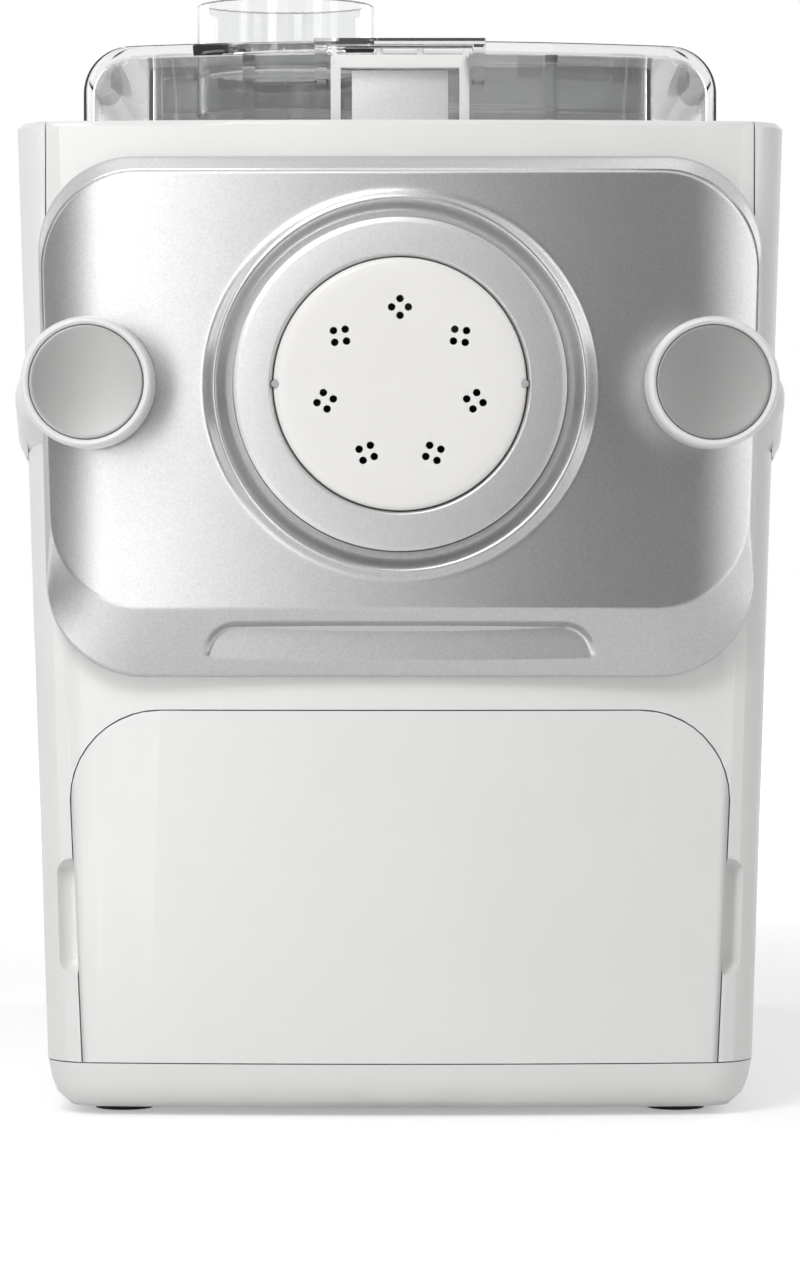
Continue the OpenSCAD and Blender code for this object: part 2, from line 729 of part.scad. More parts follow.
function gear_points(m, z) =
    let (pitch = m * z / 2, base = pitch * cos(20), root = pitch - 1.15 * m, tip = pitch + 0.85 * m,
         low = max(base, root), play = backlash / 4 / pitch * 180 / PI,
         flank = [for (i = [0:3]) low + (tip - low) * i / 3],
         half = function (r) 90 / z - play + involute(base, pitch) - involute(base, max(r, base)),
         radii = concat([root], flank))
    [for (k = [0:z - 1]) let (c = k * 360 / z) each concat(
        [for (r = radii) [r * cos(c - half(r)), r * sin(c - half(r))]],
        [for (i = [len(radii) - 1:-1:0]) let (r = radii[i]) [r * cos(c + half(r)), r * sin(c + half(r))]])];

// gear with its first tooth turned to the angle start, between y0 and y0 + t
module gear(m, z, zc, start, y0, t)
    translate([0, y0 + t, zc]) rotate([90, 0, 0]) rotate(start) linear_extrude(t) polygon(gear_points(m, z));

module lightening(zc, n, r, at, y0, y1)
    for (k = [0:n - 1]) rod_y(at * cos(k * 360 / n + 15), zc + at * sin(k * 360 / n + 15), r, y0, y1);

module drive_shaft() color("silver")
    difference() {
        union() {
            rod_y(0, axis_z, shaft_r, paddle_front + 16, cover_y + cover_t - 1);
            rod_y(0, axis_z, shaft_r + 3, out_y + out_t + 0.2, cover_y - 6.5);
        }
        rod_y(0, axis_z, 1.5, paddle_front + 10, paddle_front + 22);
    }

module shaft_seal() color("dimgray")
    difference() {
        union() {
            rod_y(0, axis_z, shaft_r + 4.1, chamber_back - chamber_wall, chamber_back);
            rod_y(0, axis_z, shaft_r + 6.5, chamber_back - chamber_wall - 2, chamber_back - chamber_wall);
        }
        rod_y(0, axis_z, shaft_r + run, chamber_back - 20, chamber_back + 20);
    }

module output_gear() color("silver")
    difference() {
        gear(out_module, out_teeth, axis_z, -90, out_y, out_t);
        rod_y(0, axis_z, shaft_r + 0.02, out_y - 5, out_y + out_t + 5);
        lightening(axis_z, 6, 8, 27, out_y - 5, out_y + out_t + 5);
    }

module output_bushes() color("peru")
    for (y = [[case_y, out_y - gap], [cover_y - 6, cover_y + cover_t]]) difference() {
        rod_y(0, axis_z, bush_r, y[0], y[1]);
        rod_y(0, axis_z, shaft_r + run, y[0] - 5, y[1] + 5);
    }

module idler_gear() color("lightgray")
    difference() {
        union() {
            gear(out_module, idler_pinion_teeth, idler_z, 90 + 180 / idler_pinion_teeth, out_y, out_t);
            gear(motor_module, idler_wheel_teeth, idler_z, -90, mot_y, mot_t);
            rod_y(0, idler_z, 9, out_y + out_t - 1, mot_y + mot_t + 2);
        }
        rod_y(0, idler_z, axle_r + run, out_y - 5, mot_y + 20);
        difference() {
            lightening(idler_z, 6, 6, 22, mot_y - 5, mot_y + mot_t + 5);
            rod_y(0, idler_z, 12, mot_y - 9, mot_y + mot_t + 9);
        }
    }

module idler_axle() color("silver") rod_y(0, idler_z, axle_r, case_y + 0.5, cover_y + cover_t - 0.5);

// outline of the gearbox: circles round both wheels and the motor's pinion, joined by straight flanks
module gearbox_outline(g) {
    translate([0, axis_z]) circle(out_module * out_teeth / 2 + 6 + g, $fn = 96);
    translate([0, idler_z]) circle(motor_module * idler_wheel_teeth / 2 + 6 + g, $fn = 96);
    translate([0, motor_z]) circle(18 + g, $fn = 96);
    translate([-20 - g, motor_z]) square([40 + 2 * g, axis_z - motor_z]);
}

module gearbox_case() color("lightgray")
    difference() {
        union() {
            along_y(case_y, case_y + case_d) gearbox_outline(case_wall);
            rod_y(0, axis_z, bush_r + 3, case_y, case_y + case_wall + 2);
        }
        difference() {
            along_y(case_y + case_wall, case_y + case_d + 1) gearbox_outline(0);
            rod_y(0, axis_z, bush_r + 3, case_y, case_y + 6);
            rod_y(0, idler_z, axle_r + 4, case_y, case_y + case_wall + 3);
        }
        rod_y(0, axis_z, bush_r + 0.02, case_y - 1, case_y + 12);
        rod_y(0, idler_z, axle_r + 0.02, case_y + 0.4, case_y + 12);
    }

module gearbox_cover() color("lightgray")
    difference() {
        union() {
            along_y(cover_y, cover_y + cover_t) gearbox_outline(case_wall);
            rod_y(0, axis_z, bush_r + 3, cover_y - 6, cover_y + 1);
            rod_y(0, idler_z, axle_r + 4, cover_y - 9, cover_y + 1);
        }
        rod_y(0, axis_z, bush_r + 0.02, cover_y - 12, cover_y + cover_t + 5);
        rod_y(0, idler_z, axle_r + 0.02, cover_y - 12, cover_y + cover_t - 0.4);
        rod_y(0, motor_z, 9, cover_y - 5, cover_y + cover_t + 5);
    }

// ---------------------------------------------------------------- motor

module motor_case() color("slategray")
    difference() {
        union() {
            rod_y(0, motor_z, motor_r, motor_front, motor_back);
            rod_y(0, motor_z, 14, motor_front, motor_back + 2.5);
            for (k = [0:3]) translate([0, motor_front, motor_z]) rotate([0, 45 + 90 * k, 0])
                translate([motor_r - 4, 0, -6]) cube([11, 5, 12]);
        }
        rod_y(0, motor_z, motor_r - 2.5, motor_front + 5, motor_back - 5);
        rod_y(0, motor_z, motor_shaft_r + run, motor_front - 5, motor_back + 9);
        for (k = [0:5]) translate([0, motor_back, motor_z]) rotate([0, 60 * k, 0])
            translate([23, 0, 0]) rotate([90, 0, 0]) translate([0, 0, -6]) cylinder(r = 5, h = 14);
    }

module motor_stator() color("darkslategray")
    difference() {
        rod_y(0, motor_z, motor_r - 2.6, motor_front + 14, motor_back - 14);
        rod_y(0, motor_z, 19.5, motor_front, motor_back);
        for (k = [0:7]) translate([0, motor_back, motor_z]) rotate([0, 45 * k, 0])
            translate([-3, -motor_l, 18]) cube([6, motor_l, 9]);
    }

module motor_rotor() color("peru") {
    rod_y(0, motor_z, motor_shaft_r, mot_y - 3, fan_y + fan_t + 2);
    rod_y(0, motor_z, 18.8, motor_front + 15, motor_back - 15);
    rod_y(0, motor_z, 11, motor_back - 15.5, motor_back - 8);
}

module motor_pinion() color("silver")
    difference() {
        gear(motor_module, motor_teeth, motor_z, 90 + 180 / motor_teeth, mot_y, mot_t);
        rod_y(0, motor_z, motor_shaft_r + 0.02, mot_y - 5, mot_y + mot_t + 5);
    }

module motor_fan() color("dimgray")
    difference() {
        union() {
            rod_y(0, motor_z, 9, fan_y, fan_y + fan_t);
            rod_y(0, motor_z, motor_r - 3, fan_y, fan_y + 1.5);
            for (k = [0:10]) translate([0, fan_y, motor_z]) rotate([0, k * 360 / 11, 0])
                translate([8, 0, -0.8]) rotate([0, 12, 0]) cube([motor_r - 12.5, fan_t, 1.6]);
        }
        rod_y(0, motor_z, motor_shaft_r + 0.02, fan_y - 5, fan_y + fan_t + 5);
    }

// ---------------------------------------------------------------- chassis and board

board_x = -84;
board_y0 = bulk_y + bulk_t + 8;
board_y1 = rear_face - wall - 26;
board_z0 = 168;
board_z1 = 262;

module chassis() color("lightsteelblue") {
    floor_z = foot_h + wall;
    difference() {
        union() {
            block(-94, 94, bulk_y, bulk_y + bulk_t, floor_z, chamber_rim - 8);
            block(-88, 88, bulk_y, bulk_y + 70, floor_z, floor_z + 2.5);
            for (z = [board_z0 + 6, board_z1 - 12])
                block(board_x - 3, board_x - gap, bulk_y, bulk_y + bulk_t + 18, z, z + 8);
        }
        rod_y(0, axis_z, shaft_r + 8, bulk_y - 5, bulk_y + bulk_t + 5);
        for (s = [-1, 1]) block(s * 70 - 14, s * 70 + 14, bulk_y - 1, bulk_y + bulk_t + 1, 60, 120);
    }
}

module main_board() color("seagreen") {
    block(board_x, board_x + 1.6, board_y0, board_y1, board_z0, board_z1);
    for (i = [0:2])
        translate([board_x + 1.6 - eps, board_y0 + 18 + 24 * i, board_z1 - 20]) rotate([0, 90, 0])
            cylinder(r = 8, h = 22);
    block(board_x + 1.6 - eps, board_x + 22, board_y0 + 8, board_y0 + 40, board_z0 + 6, board_z0 + 34);
    for (i = [0:5])
        block(board_x + 1.6 - eps, board_x + 20, board_y0 + 52 + 6 * i, board_y0 + 54 + 6 * i,
              board_z0 + 8, board_z0 + 44);
}

// ---------------------------------------------------------------- lid and latch

// outline of the lid in the front view: round shoulders under a crowned top
function lid_outline(z0, side, drop) =
    let (hw = lid_hw - side, top = lid_top - drop, r = max(lid_r - side, 4), cx = hw - r, z = top - lid_crown - r)
    concat([[-hw, z0], [hw, z0]], arc(cx, z, r, 0, 90, 8),
           [for (k = [1:7]) let (t = 1 - k / 4) [cx * t, top - lid_crown * t * t]],
           arc(-cx, z, r, 90, 180, 8));

// solid form of the lid, moved inwards by i: the outline with a rounded edge along its front and back
module lid_block(i, z0)
    hull() for (e = lid_edge) {
        along_y(lid_front + i + e[0], lid_front + i + e[0] + eps) polygon(lid_outline(z0, i + e[1], i + e[2]));
        along_y(lid_back - i - e[0] - eps, lid_back - i - e[0]) polygon(lid_outline(z0, i + e[1], i + e[2]));
    }

module lid() color("lightcyan", 0.5)
    difference() {
        union() {
            difference() {
                lid_block(0, lid_bot);
                lid_block(lid_wall, lid_bot - 5);
            }
            // inner rim round the chamber's mouth
            difference() {
                block(-lid_plug_hw, lid_plug_hw, lid_plug_front, lid_plug_back, body_h + 2.6, lid_rim_top);
                block(-lid_plug_hw + 2.4, lid_plug_hw - 2.4, lid_plug_front + 2, lid_plug_back - 2,
                      body_h, lid_top);
            }
            // stiffening ribs behind the front wall
            for (s = [-1, 1])
                block(s * 45 - 1.8, s * 45 + 1.8, lid_front + 2, lid_plug_front + 1, body_h + 3, lid_rim_top);
            for (s = [-1, 1]) {
                rod_x(hinge_y, hinge_z, barrel_r, s * 60 - 10.4, s * 60 + 10.4);
                block(s * 60 - 10.4, s * 60 + 10.4, lid_back - 2.4, hinge_y, lid_bot + 2, hinge_z + barrel_r);
            }
        }
        // seat of the spout and of its collar
        translate([spout_x, spout_y, spout_bot - 1])
            cylinder(r = spout_r + run, h = spout_top - spout_bot + 2, $fn = 96);
        translate([spout_x, spout_y, spout_seat])
            cylinder(r = spout_r + spout_collar + run, h = 10, $fn = 96);
        rod_x(hinge_y, hinge_z, hinge_pin_r + run, -100, 100);
    }

// clear spout, pressed into the lid down to its collar
module lid_spout() color("lightcyan", 0.5)
    translate([spout_x, spout_y, 0]) rotate_extrude($fn = 96) polygon([
        [spout_r - 2, spout_bot], [spout_r, spout_bot], [spout_r, spout_seat],
        [spout_r + spout_collar, spout_seat], [spout_r + spout_collar, lid_top + 0.8], [spout_r, lid_top + 1.6],
        [spout_r, spout_top - 0.5], [spout_r - 0.5, spout_top], [spout_r - 1.5, spout_top],
        [spout_r - 2, spout_top - 0.5]
    ]);

// catch on the lid's front wall: a tab over the latch between two lugs
module lid_catch() color("lightcyan", 0.5)
    difference() {
        union() {
            block(-latch_hw - 5, latch_hw + 5, latch_y - 3, lid_front + lid_r, lid_top - 2.4, lid_top - 0.6);
            for (s = [-1, 1])
                block(s * 23.2 - 1.8, s * 23.2 + 1.8, latch_y - 3, lid_front + lid_r, lid_top - lid_r + 1,
                      lid_top - 0.6);
        }
        lid_block(0, lid_bot);
    }

module lid_seal() color("gray")
    difference() {
        block(-lid_plug_hw - 1.5, lid_plug_hw + 1.5, lid_plug_front - 1.5, lid_plug_back + 1.5,
              body_h + gap, body_h + 2.6);
        block(-lid_plug_hw + 6, lid_plug_hw - 6, chamber_front + 2, chamber_back - 2, body_h - 1, body_h + 3);
    }

module lid_hinge_pins() color("silver")
    for (s = [-1, 1]) rod_x(hinge_y, hinge_z, hinge_pin_r, s * 60 - 21, s * 60 + 21);

module lid_latch() color("white")
    difference() {
        union() {
            for (s = [-1, 1]) {
                block(s * (latch_hw - latch_leg / 2) - latch_leg / 2, s * (latch_hw - latch_leg / 2) + latch_leg / 2,
                      latch_y - latch_t / 2, latch_y + latch_t / 2, latch_z, latch_top - 1);
                rod_x(latch_y, latch_z, 3, s * (latch_hw - latch_leg / 2) - latch_leg / 2,
                      s * (latch_hw - latch_leg / 2) + latch_leg / 2);
                block(s * (latch_hw - 1) - 0.8, s * (latch_hw - 1) + 0.8, latch_y - latch_t / 2,
                      latch_y + latch_t / 2, latch_top - 1, latch_top + 1.8);
                translate([s * 6, latch_y, latch_top - 1]) cylinder(r = 1, h = 3);
            }
            along_y(latch_y - latch_t / 2, latch_y + latch_t / 2)
                translate([0, latch_top - latch_bar / 2]) round_rect(2 * latch_hw, latch_bar, 1);
        }
        rod_x(latch_y, latch_z, latch_pin_r + run, -40, 40);
    }

module latch_pin() color("silver")
    rod_x(latch_y, latch_z, latch_pin_r, -latch_hw - 6.5, latch_hw + 6.5);

module latch_plate() color("gainsboro") {
    block(-14.2, 14.2, latch_y + 3, latch_y + 5.4, body_h, latch_top - latch_bar - 0.4);
    block(-16.5, 16.5, latch_y + 3, latch_y + 9, body_h, body_h + 1.6);
}

// ---------------------------------------------------------------- drawer

module drawer_front() color("white")
    difference() {
        intersection() {
            outer_form();
            along_y(front_y - 2, drawer_front_back) polygon(drawer_outline());
        }
        difference() {
            block(-drawer_bot_hw + 4, drawer_bot_hw - 4, front_y + 3 + bulge(drawer_bot_hw), drawer_front_back + 1,
                  base_h + 4, drawer_top - 4 - drawer_r);
            for (i = [-2:2]) block(i * 34 - 1.2, i * 34 + 1.2, front_y, drawer_front_back, base_h, drawer_top);
        }
    }

disc_rows = [38, 76, 114];                  // places of the stored discs behind the tray's front

module drawer_tray() color("white") {
    y0 = drawer_front_back;
    y1 = drawer_back;
    difference() {
        block(-tray_hw, tray_hw, y0, y1, tray_bot, tray_top);
        block(-tray_hw + tray_wall, tray_hw - tray_wall, y0 + tray_wall, y1 - tray_wall,
              tray_bot + tray_wall, tray_top + 1);
        // low middle of the rear wall
        block(-40, 40, y1 - 5, y1 + 5, tray_top - 25, tray_top + 1);
    }
    for (d = disc_rows, s = [-1, 1])
        block(-tray_hw + 1, tray_hw - 1, y0 + d + s * (disc_t / 2 + 1.4) - 0.8,
              y0 + d + s * (disc_t / 2 + 1.4) + 0.8, tray_bot + 1, tray_bot + 16);
}

module spare_discs() color("white")
    for (d = disc_rows, s = [-1, 1])
        translate([s * (disc_flange_r - 2), drawer_front_back + d + disc_t / 2,
                   tray_bot + tray_wall + gap + disc_flange_r])
            difference() {
                disc(false);
                rod_y(0, 0, d == disc_rows[0] ? 8 : d == disc_rows[1] ? 12 : 3, -disc_t - 1, 1);
            }

module drawer_runners() color("lightgray")
    for (s = [-1, 1]) union() {
        block(s * 71 - 5, s * 71 + 5, drawer_front_back + 6, bulk_y - 1, foot_h + wall, foot_h + wall + 2);
        block(s * 71 - 1.5, s * 71 + 1.5, drawer_front_back + 6, bulk_y - 1, foot_h + wall, tray_bot - gap);
    }

// ---------------------------------------------------------------- control panel on the right side

// local frame on the leaning side: X outwards, Y to the rear, Z up the side
module on_side()
    translate([half_w(control_z), control_y, control_z]) rotate([0, side_lean, 0]) children();

// plate with round corners, t thick, standing outwards from X = 0
module side_plate(l, h, r, t)
    rotate([90, 0, 90]) linear_extrude(t) round_rect(l, h, r);

module side_rod(y, z, r, x0, x1)
    translate([x0, y, z]) rotate([0, 90, 0]) cylinder(r = r, h = x1 - x0);

module control_panel() color("whitesmoke") on_side()
    difference() {
        union() {
            translate([-control_t, 0, 0]) side_plate(control_l, control_h, control_r, control_t);
            for (y = [-1, 1], z = [-1, 1])
                side_rod(y * (control_l / 2 - 9), z * (control_h / 2 - 6), 3, -board_gap, -control_t + eps);
        }
        translate([-1.5, window_y, 0]) side_plate(window_l + 2 * gap, 24 + 2 * gap, 3, 5);
        for (i = [0:3]) side_rod(button_y0 + i * button_pitch, 0, button_r + gap, -10, 5);
        side_rod(start_y, 0, start_r + gap, -10, 5);
    }

module display_window() color("black") on_side()
    translate([-1.5, window_y, 0]) side_plate(window_l, 24, 3, 1.4);

module control_board() color("seagreen") on_side()
    translate([-board_gap - 1.6 - gap, 0, 0]) side_plate(control_l - 6, control_h - 4, 3, 1.6);

// domed button cap with a retaining flange and a stem that reaches to its switch
module button(y, r) on_side() {
    side_rod(y, 0, r, -control_t - gap - 1.2, 0.5);
    side_rod(y, 0, r - 0.8, 0.4, 0.9);
    side_rod(y, 0, r + 1.4, -control_t - gap - 1.2, -control_t - gap);
    side_rod(y, 0, 2, -board_gap + button_travel + 0.3, -control_t - gap);
}

module start_button() color("gainsboro") button(start_y, start_r);
module mode_button() color("white") button(button_y0, button_r);
module plus_button() color("white") button(button_y0 + button_pitch, button_r);
module minus_button() color("white") button(button_y0 + 2 * button_pitch, button_r);
module clean_button() color("white") button(button_y0 + 3 * button_pitch, button_r);

// ---------------------------------------------------------------- small parts

module cord_gland() color("dimgray")
    difference() {
        union() {
            rod_y(gland_x, gland_z, gland_r, rear_face - 12, rear_y);
            rod_y(gland_x, gland_z, gland_r + 2, rear_face, rear_y);
            rod_y(gland_x, gland_z, gland_r + 2, rear_face - 12, rear_face - wall - 1);
        }
        rod_y(gland_x, gland_z, gland_bore_r, rear_face - 20, rear_y + 5);
    }

module screw(r, l) {
    cylinder(r = r, h = l + 0.5);
    translate([0, 0, l]) difference() {
        cylinder(r = r * 1.9, h = 1.6);
        translate([0, 0, 0.8]) cylinder(r = r * 0.9, h = 2, $fn = 6);
    }
}

module case_screws() color("silver") {
    for (x = [-1, 1], z = [rear_bot + 14, rear_top - 14])
        translate([x * (rear_hw - 6), rear_face - 6, z]) rotate([-90, 0, 0]) screw(1.4, 6);
    for (x = [-1, 1], y = [foot_y_front + 16, foot_y_rear - 16])
        translate([x * screw_x, y, base_h + 6]) rotate([180, 0, 0]) screw(1.6, base_h + 6 - foot_h);
}

// ---------------------------------------------------------------- every piece, one line each

housing_shell();
front_bezel();
top_deck();
rear_panel();
base_tray();
rubber_feet();
knob_bracket_left();
knob_bracket_right();
knob_inserts();
front_panel();
disc_ring();
shaping_disc();
knob_left();
knob_right();
knob_cap_left();
knob_cap_right();
knob_screw_left();
knob_screw_right();
mixing_chamber();
tube_sleeve();
extruding_tube();
extruding_screw();
mixing_paddle();
drive_shaft();
shaft_seal();
output_gear();
output_bushes();
idler_gear();
idler_axle();
gearbox_case();
gearbox_cover();
motor_case();
motor_stator();
motor_rotor();
motor_pinion();
motor_fan();
chassis();
main_board();
lid();
lid_spout();
lid_catch();
lid_seal();
lid_hinge_pins();
lid_latch();
latch_pin();
latch_plate();
drawer_front();
drawer_tray();
spare_discs();
drawer_runners();
control_panel();
display_window();
control_board();
start_button();
mode_button();
plus_button();
minus_button();
clean_button();
cord_gland();
case_screws();
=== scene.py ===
"""Electric pasta maker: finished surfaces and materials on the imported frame.

Every size is in millimetres inside this file and becomes metres when a mesh is made.
X runs to the right seen from the front, the front faces -Y, Z runs up.
"""

import json
import math

import bmesh
import bpy
import numpy as np
from bpy.props import FloatProperty, FloatVectorProperty, PointerProperty
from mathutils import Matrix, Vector

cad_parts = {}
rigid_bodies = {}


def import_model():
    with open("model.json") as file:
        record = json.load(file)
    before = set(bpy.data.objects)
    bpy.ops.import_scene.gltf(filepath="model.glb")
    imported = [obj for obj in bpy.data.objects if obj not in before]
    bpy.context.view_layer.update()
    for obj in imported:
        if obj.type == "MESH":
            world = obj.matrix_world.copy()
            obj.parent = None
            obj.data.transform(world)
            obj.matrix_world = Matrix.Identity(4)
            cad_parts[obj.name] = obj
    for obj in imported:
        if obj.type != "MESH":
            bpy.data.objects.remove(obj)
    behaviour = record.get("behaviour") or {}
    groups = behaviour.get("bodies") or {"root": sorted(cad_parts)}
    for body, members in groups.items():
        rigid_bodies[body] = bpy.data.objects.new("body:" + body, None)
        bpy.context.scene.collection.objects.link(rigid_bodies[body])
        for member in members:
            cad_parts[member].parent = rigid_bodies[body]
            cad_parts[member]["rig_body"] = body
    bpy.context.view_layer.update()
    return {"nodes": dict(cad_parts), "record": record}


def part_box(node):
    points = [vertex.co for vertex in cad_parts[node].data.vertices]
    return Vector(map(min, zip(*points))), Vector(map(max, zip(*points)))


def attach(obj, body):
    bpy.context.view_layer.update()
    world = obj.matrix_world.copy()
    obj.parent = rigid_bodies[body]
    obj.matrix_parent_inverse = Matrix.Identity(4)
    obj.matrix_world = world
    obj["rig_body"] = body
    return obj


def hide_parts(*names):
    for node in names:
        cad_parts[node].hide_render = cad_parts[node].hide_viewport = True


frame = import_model()
SLOT_OF = {part["node"]: part["material_slot"] for part in frame["record"]["subparts"]}

bl_info = {
    "name": "Pasta Maker Model",
    "version": (1, 0, 0),
    "blender": (4, 5, 0),
    "location": "3D View > Sidebar > Pasta Maker",
    "description": "Surfaces, materials and studio of an electric pasta maker",
    "category": "Object",
}


def box_mm(node):
    """Lowest and highest corner of a frame node, in millimetres."""
    low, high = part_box(node)
    return np.array(low) * 1000.0, np.array(high) * 1000.0


PANEL_LO, PANEL_HI = box_mm("front_panel")
RING_LO, RING_HI = box_mm("disc_ring")
DISC_LO, DISC_HI = box_mm("shaping_disc")
KNOB_LO, KNOB_HI = box_mm("knob_right")
LID_LO, LID_HI = box_mm("lid")
AXIS_Z = float((RING_LO[2] + RING_HI[2]) / 2)

# front panel
EDGE_DEPTH = 8.8  # from the front point back to where the bevel meets the side wall
RIM_DEPTH = 19.6  # from the front point back to the rear edge of the side wall
FOOT_INSET = 2.4  # how much narrower each side is at the foot
FACE_INSET = 1.2  # width of the bevel along the sides
PANEL_WALL = 3.0  # thickness of the shell
FLARE_FROM = 84.0  # half width beyond which the face falls back faster
RIDGE_FOOT = 60.2  # radius at which the ridge leaves the face
RIDGE_CREST = 53.9  # radius of its highest line
RIDGE_HEIGHT = 1.1
RIDGE_SPREAD = 1.7  # how fast its outer flank falls away
RIDGE_RUN = 3.9  # width of its inner flank
GROOVE_STEP = 2.8  # height of its inner flank
GRIP_CORNER = 10.4  # radius of the grip recess's upper corners
KNOB_X = 89.0  # knob axis from the middle
SEAT_R = 17.8  # flat seat behind each knob

# front of the housing: an arc between two round corners
FRONT_Y = -166.0
FRONT_R = 1000.0
FRONT_HALF = 109.5
FRONT_CORNER = 16.0

# lid
LID_CROWN = 1.6  # how much higher the top is in its middle than at its shoulders
LID_WALL = 2.6
LID_TOP = 3.4  # thickness of the top
LID_SHOULDER = 14.0  # radius of the long edges
LID_EDGE = 0.55  # rounding of the front and rear edges
RIM_WALL = 2.4  # thickness of the inner rim
KNUCKLE_R = 4.2
# the region inside the outer walls, darkened in the clear material as painted shade: half width, depth under
# the top, distance behind the front
LID_INNER = (78.5, 4.5, 3.5)


# ------------ sizes and colours


class PastaStage(bpy.types.PropertyGroup):
    camera_distance: FloatProperty(
        name="Camera distance", description="From the lens to a plane 150 mm before the middle",
        default=1.40, min=0.8, max=3.0, unit="LENGTH")
    eye_height: FloatProperty(
        name="Eye height", description="Height of the lens above the worktop",
        default=0.1682, min=0.05, max=0.6, unit="LENGTH")
    focal_length: FloatProperty(
        name="Focal length", description="Lens length for a 36 mm sensor along the long side",
        default=134.8, min=50.0, max=250.0)
    key_power: FloatProperty(
        name="Key light", description="Power of the tall light left of the camera, in watts",
        default=0.74, min=0.0)
    fill_power: FloatProperty(
        name="Right strip", description="Power of the tall strip on the right, in watts",
        default=1.3, min=0.0)
    high_power: FloatProperty(
        name="Wide light", description="Power of the large soft light on the left, in watts",
        default=4.8, min=0.0)
    low_power: FloatProperty(
        name="Low light", description="Power of the small light low on the left, in watts",
        default=0.07, min=0.0)
    side_power: FloatProperty(
        name="Side lights", description="Power of the narrow light on the left; 1.4 times on the right",
        default=0.22, min=0.0)
    back_power: FloatProperty(
        name="Back lights", description="Power of each of the two lights behind, in watts",
        default=6.0, min=0.0)
    top_power: FloatProperty(
        name="Top light", description="Power of the wide light overhead, in watts",
        default=1.7, min=0.0)
    room: FloatProperty(
        name="Room light", description="Strength of the even light from all round",
        default=0.17, min=0.0, max=1.0)
    flag_tone: FloatProperty(
        name="Flag tone", description="Grey of the two cards that only reflections show",
        default=0.03, min=0.0, max=1.0)
    floor: FloatVectorProperty(
        name="Floor", description="Colour of the floor", subtype="COLOR",
        default=(0.8, 0.8, 0.8), min=0.0, max=1.0)
    floor_lift: FloatProperty(
        name="Floor lift", description="Light that the floor adds near the object to what the camera sees",
        default=0.36, min=0.0, max=1.0)


class PastaHousing(bpy.types.PropertyGroup):
    white: FloatVectorProperty(
        name="White", description="Colour of the moulded housing", subtype="COLOR",
        default=(0.84, 0.835, 0.825), min=0.0, max=1.0)
    edge_angle: FloatProperty(
        name="Edge angle", description="Faces that meet more sharply than this keep a crisp edge",
        default=math.radians(32), min=0.1, max=1.5, subtype="ANGLE")


class PastaPanel(bpy.types.PropertyGroup):
    silver: FloatVectorProperty(
        name="Silver", description="Colour of the metallic paint", subtype="COLOR",
        default=(0.53, 0.53, 0.53), min=0.0, max=1.0)
    bulge_radius: FloatProperty(
        name="Bulge radius", description="Radius of the gentle bulge across the face",
        default=1.0, min=0.5, max=3.0, unit="LENGTH")
    corner_radius: FloatProperty(
        name="Corner radius", description="Radius of the panel's corners",
        default=0.028, min=0.01, max=0.04, unit="LENGTH")
    band_height: FloatProperty(
        name="Lower band", description="Height of the sloping band along the lower edge",
        default=0.020, min=0.01, max=0.03, unit="LENGTH")
    bevel_height: FloatProperty(
        name="Upper bevel", description="Height of the bevel along the upper edge",
        default=0.005, min=0.002, max=0.01, unit="LENGTH")
    grip_half_width: FloatProperty(
        name="Grip half width", description="Half the width of the grip recess",
        default=0.0576, min=0.03, max=0.07, unit="LENGTH")


class PastaExtruder(bpy.types.PropertyGroup):
    ring_colour: FloatVectorProperty(
        name="Ring", description="Colour of the ring round the shaping disc", subtype="COLOR",
        default=(0.60, 0.60, 0.60), min=0.0, max=1.0)
    disc_colour: FloatVectorProperty(
        name="Disc", description="Colour of the shaping disc", subtype="COLOR",
        default=(0.86, 0.85, 0.83), min=0.0, max=1.0)


class PastaKnobs(bpy.types.PropertyGroup):
    cap_colour: FloatVectorProperty(
        name="Cap", description="Colour of the dished cap in each knob", subtype="COLOR",
        default=(0.40, 0.40, 0.395), min=0.0, max=1.0)
    rim_width: FloatProperty(
        name="Rim width", description="Width of the white rim round the cap",
        default=0.0025, min=0.001, max=0.005, unit="LENGTH")


class PastaLid(bpy.types.PropertyGroup):
    tint: FloatVectorProperty(
        name="Tint", description="Tint of the clear moulding", subtype="COLOR",
        default=(0.90, 0.905, 0.905), min=0.0, max=1.0)
    # painted shade: how clear the lid stays inside its outer walls, darkened to stand in for the shaded
    # inside seen through it
    inner_painted_shade: FloatProperty(
        name="Inner tint", description="Tone of the inner rim of the lid against its outer walls",
        default=0.64, min=0.1, max=1.0)


# ------------ shader groups


def link(tree, *pairs):
    for a, b in pairs:
        tree.links.new(a, b)


def set_inputs(node, values):
    """Puts plain values on the sockets named."""
    for title, value in values.items():
        node.inputs[title].default_value = value


def add_node(tree, kind, values=None):
    """New shader node of a kind, with plain values on the sockets named."""
    node = tree.nodes.new("ShaderNode" + kind)
    set_inputs(node, values or {})
    return node


def object_coords(tree):
    return add_node(tree, "TexCoord").outputs["Object"]


def new_group(name, inputs, outputs):
    """Empty shader group with float sockets: the group, the sockets it takes from and those it fills."""
    group = bpy.data.node_groups.new(name, "ShaderNodeTree")
    for title, value in inputs.items():
        socket = group.interface.new_socket(name=title, in_out="INPUT", socket_type="NodeSocketFloat")
        socket.default_value = value
    for title in outputs:
        group.interface.new_socket(name=title, in_out="OUTPUT", socket_type="NodeSocketFloat")
    entry = group.nodes.new("NodeGroupInput")
    leave = group.nodes.new("NodeGroupOutput")
    return group, entry.outputs, leave.inputs


def math_node(tree, operation, a, b=None, clamp=False):
    """Output of a math node; a and b are numbers or sockets."""
    node = add_node(tree, "Math")
    node.operation = operation
    node.use_clamp = clamp
    for i, value in enumerate((a, b)):
        if isinstance(value, (int, float)):
            node.inputs[i].default_value = value
        elif value is not None:
            tree.links.new(value, node.inputs[i])
    return node.outputs[0]


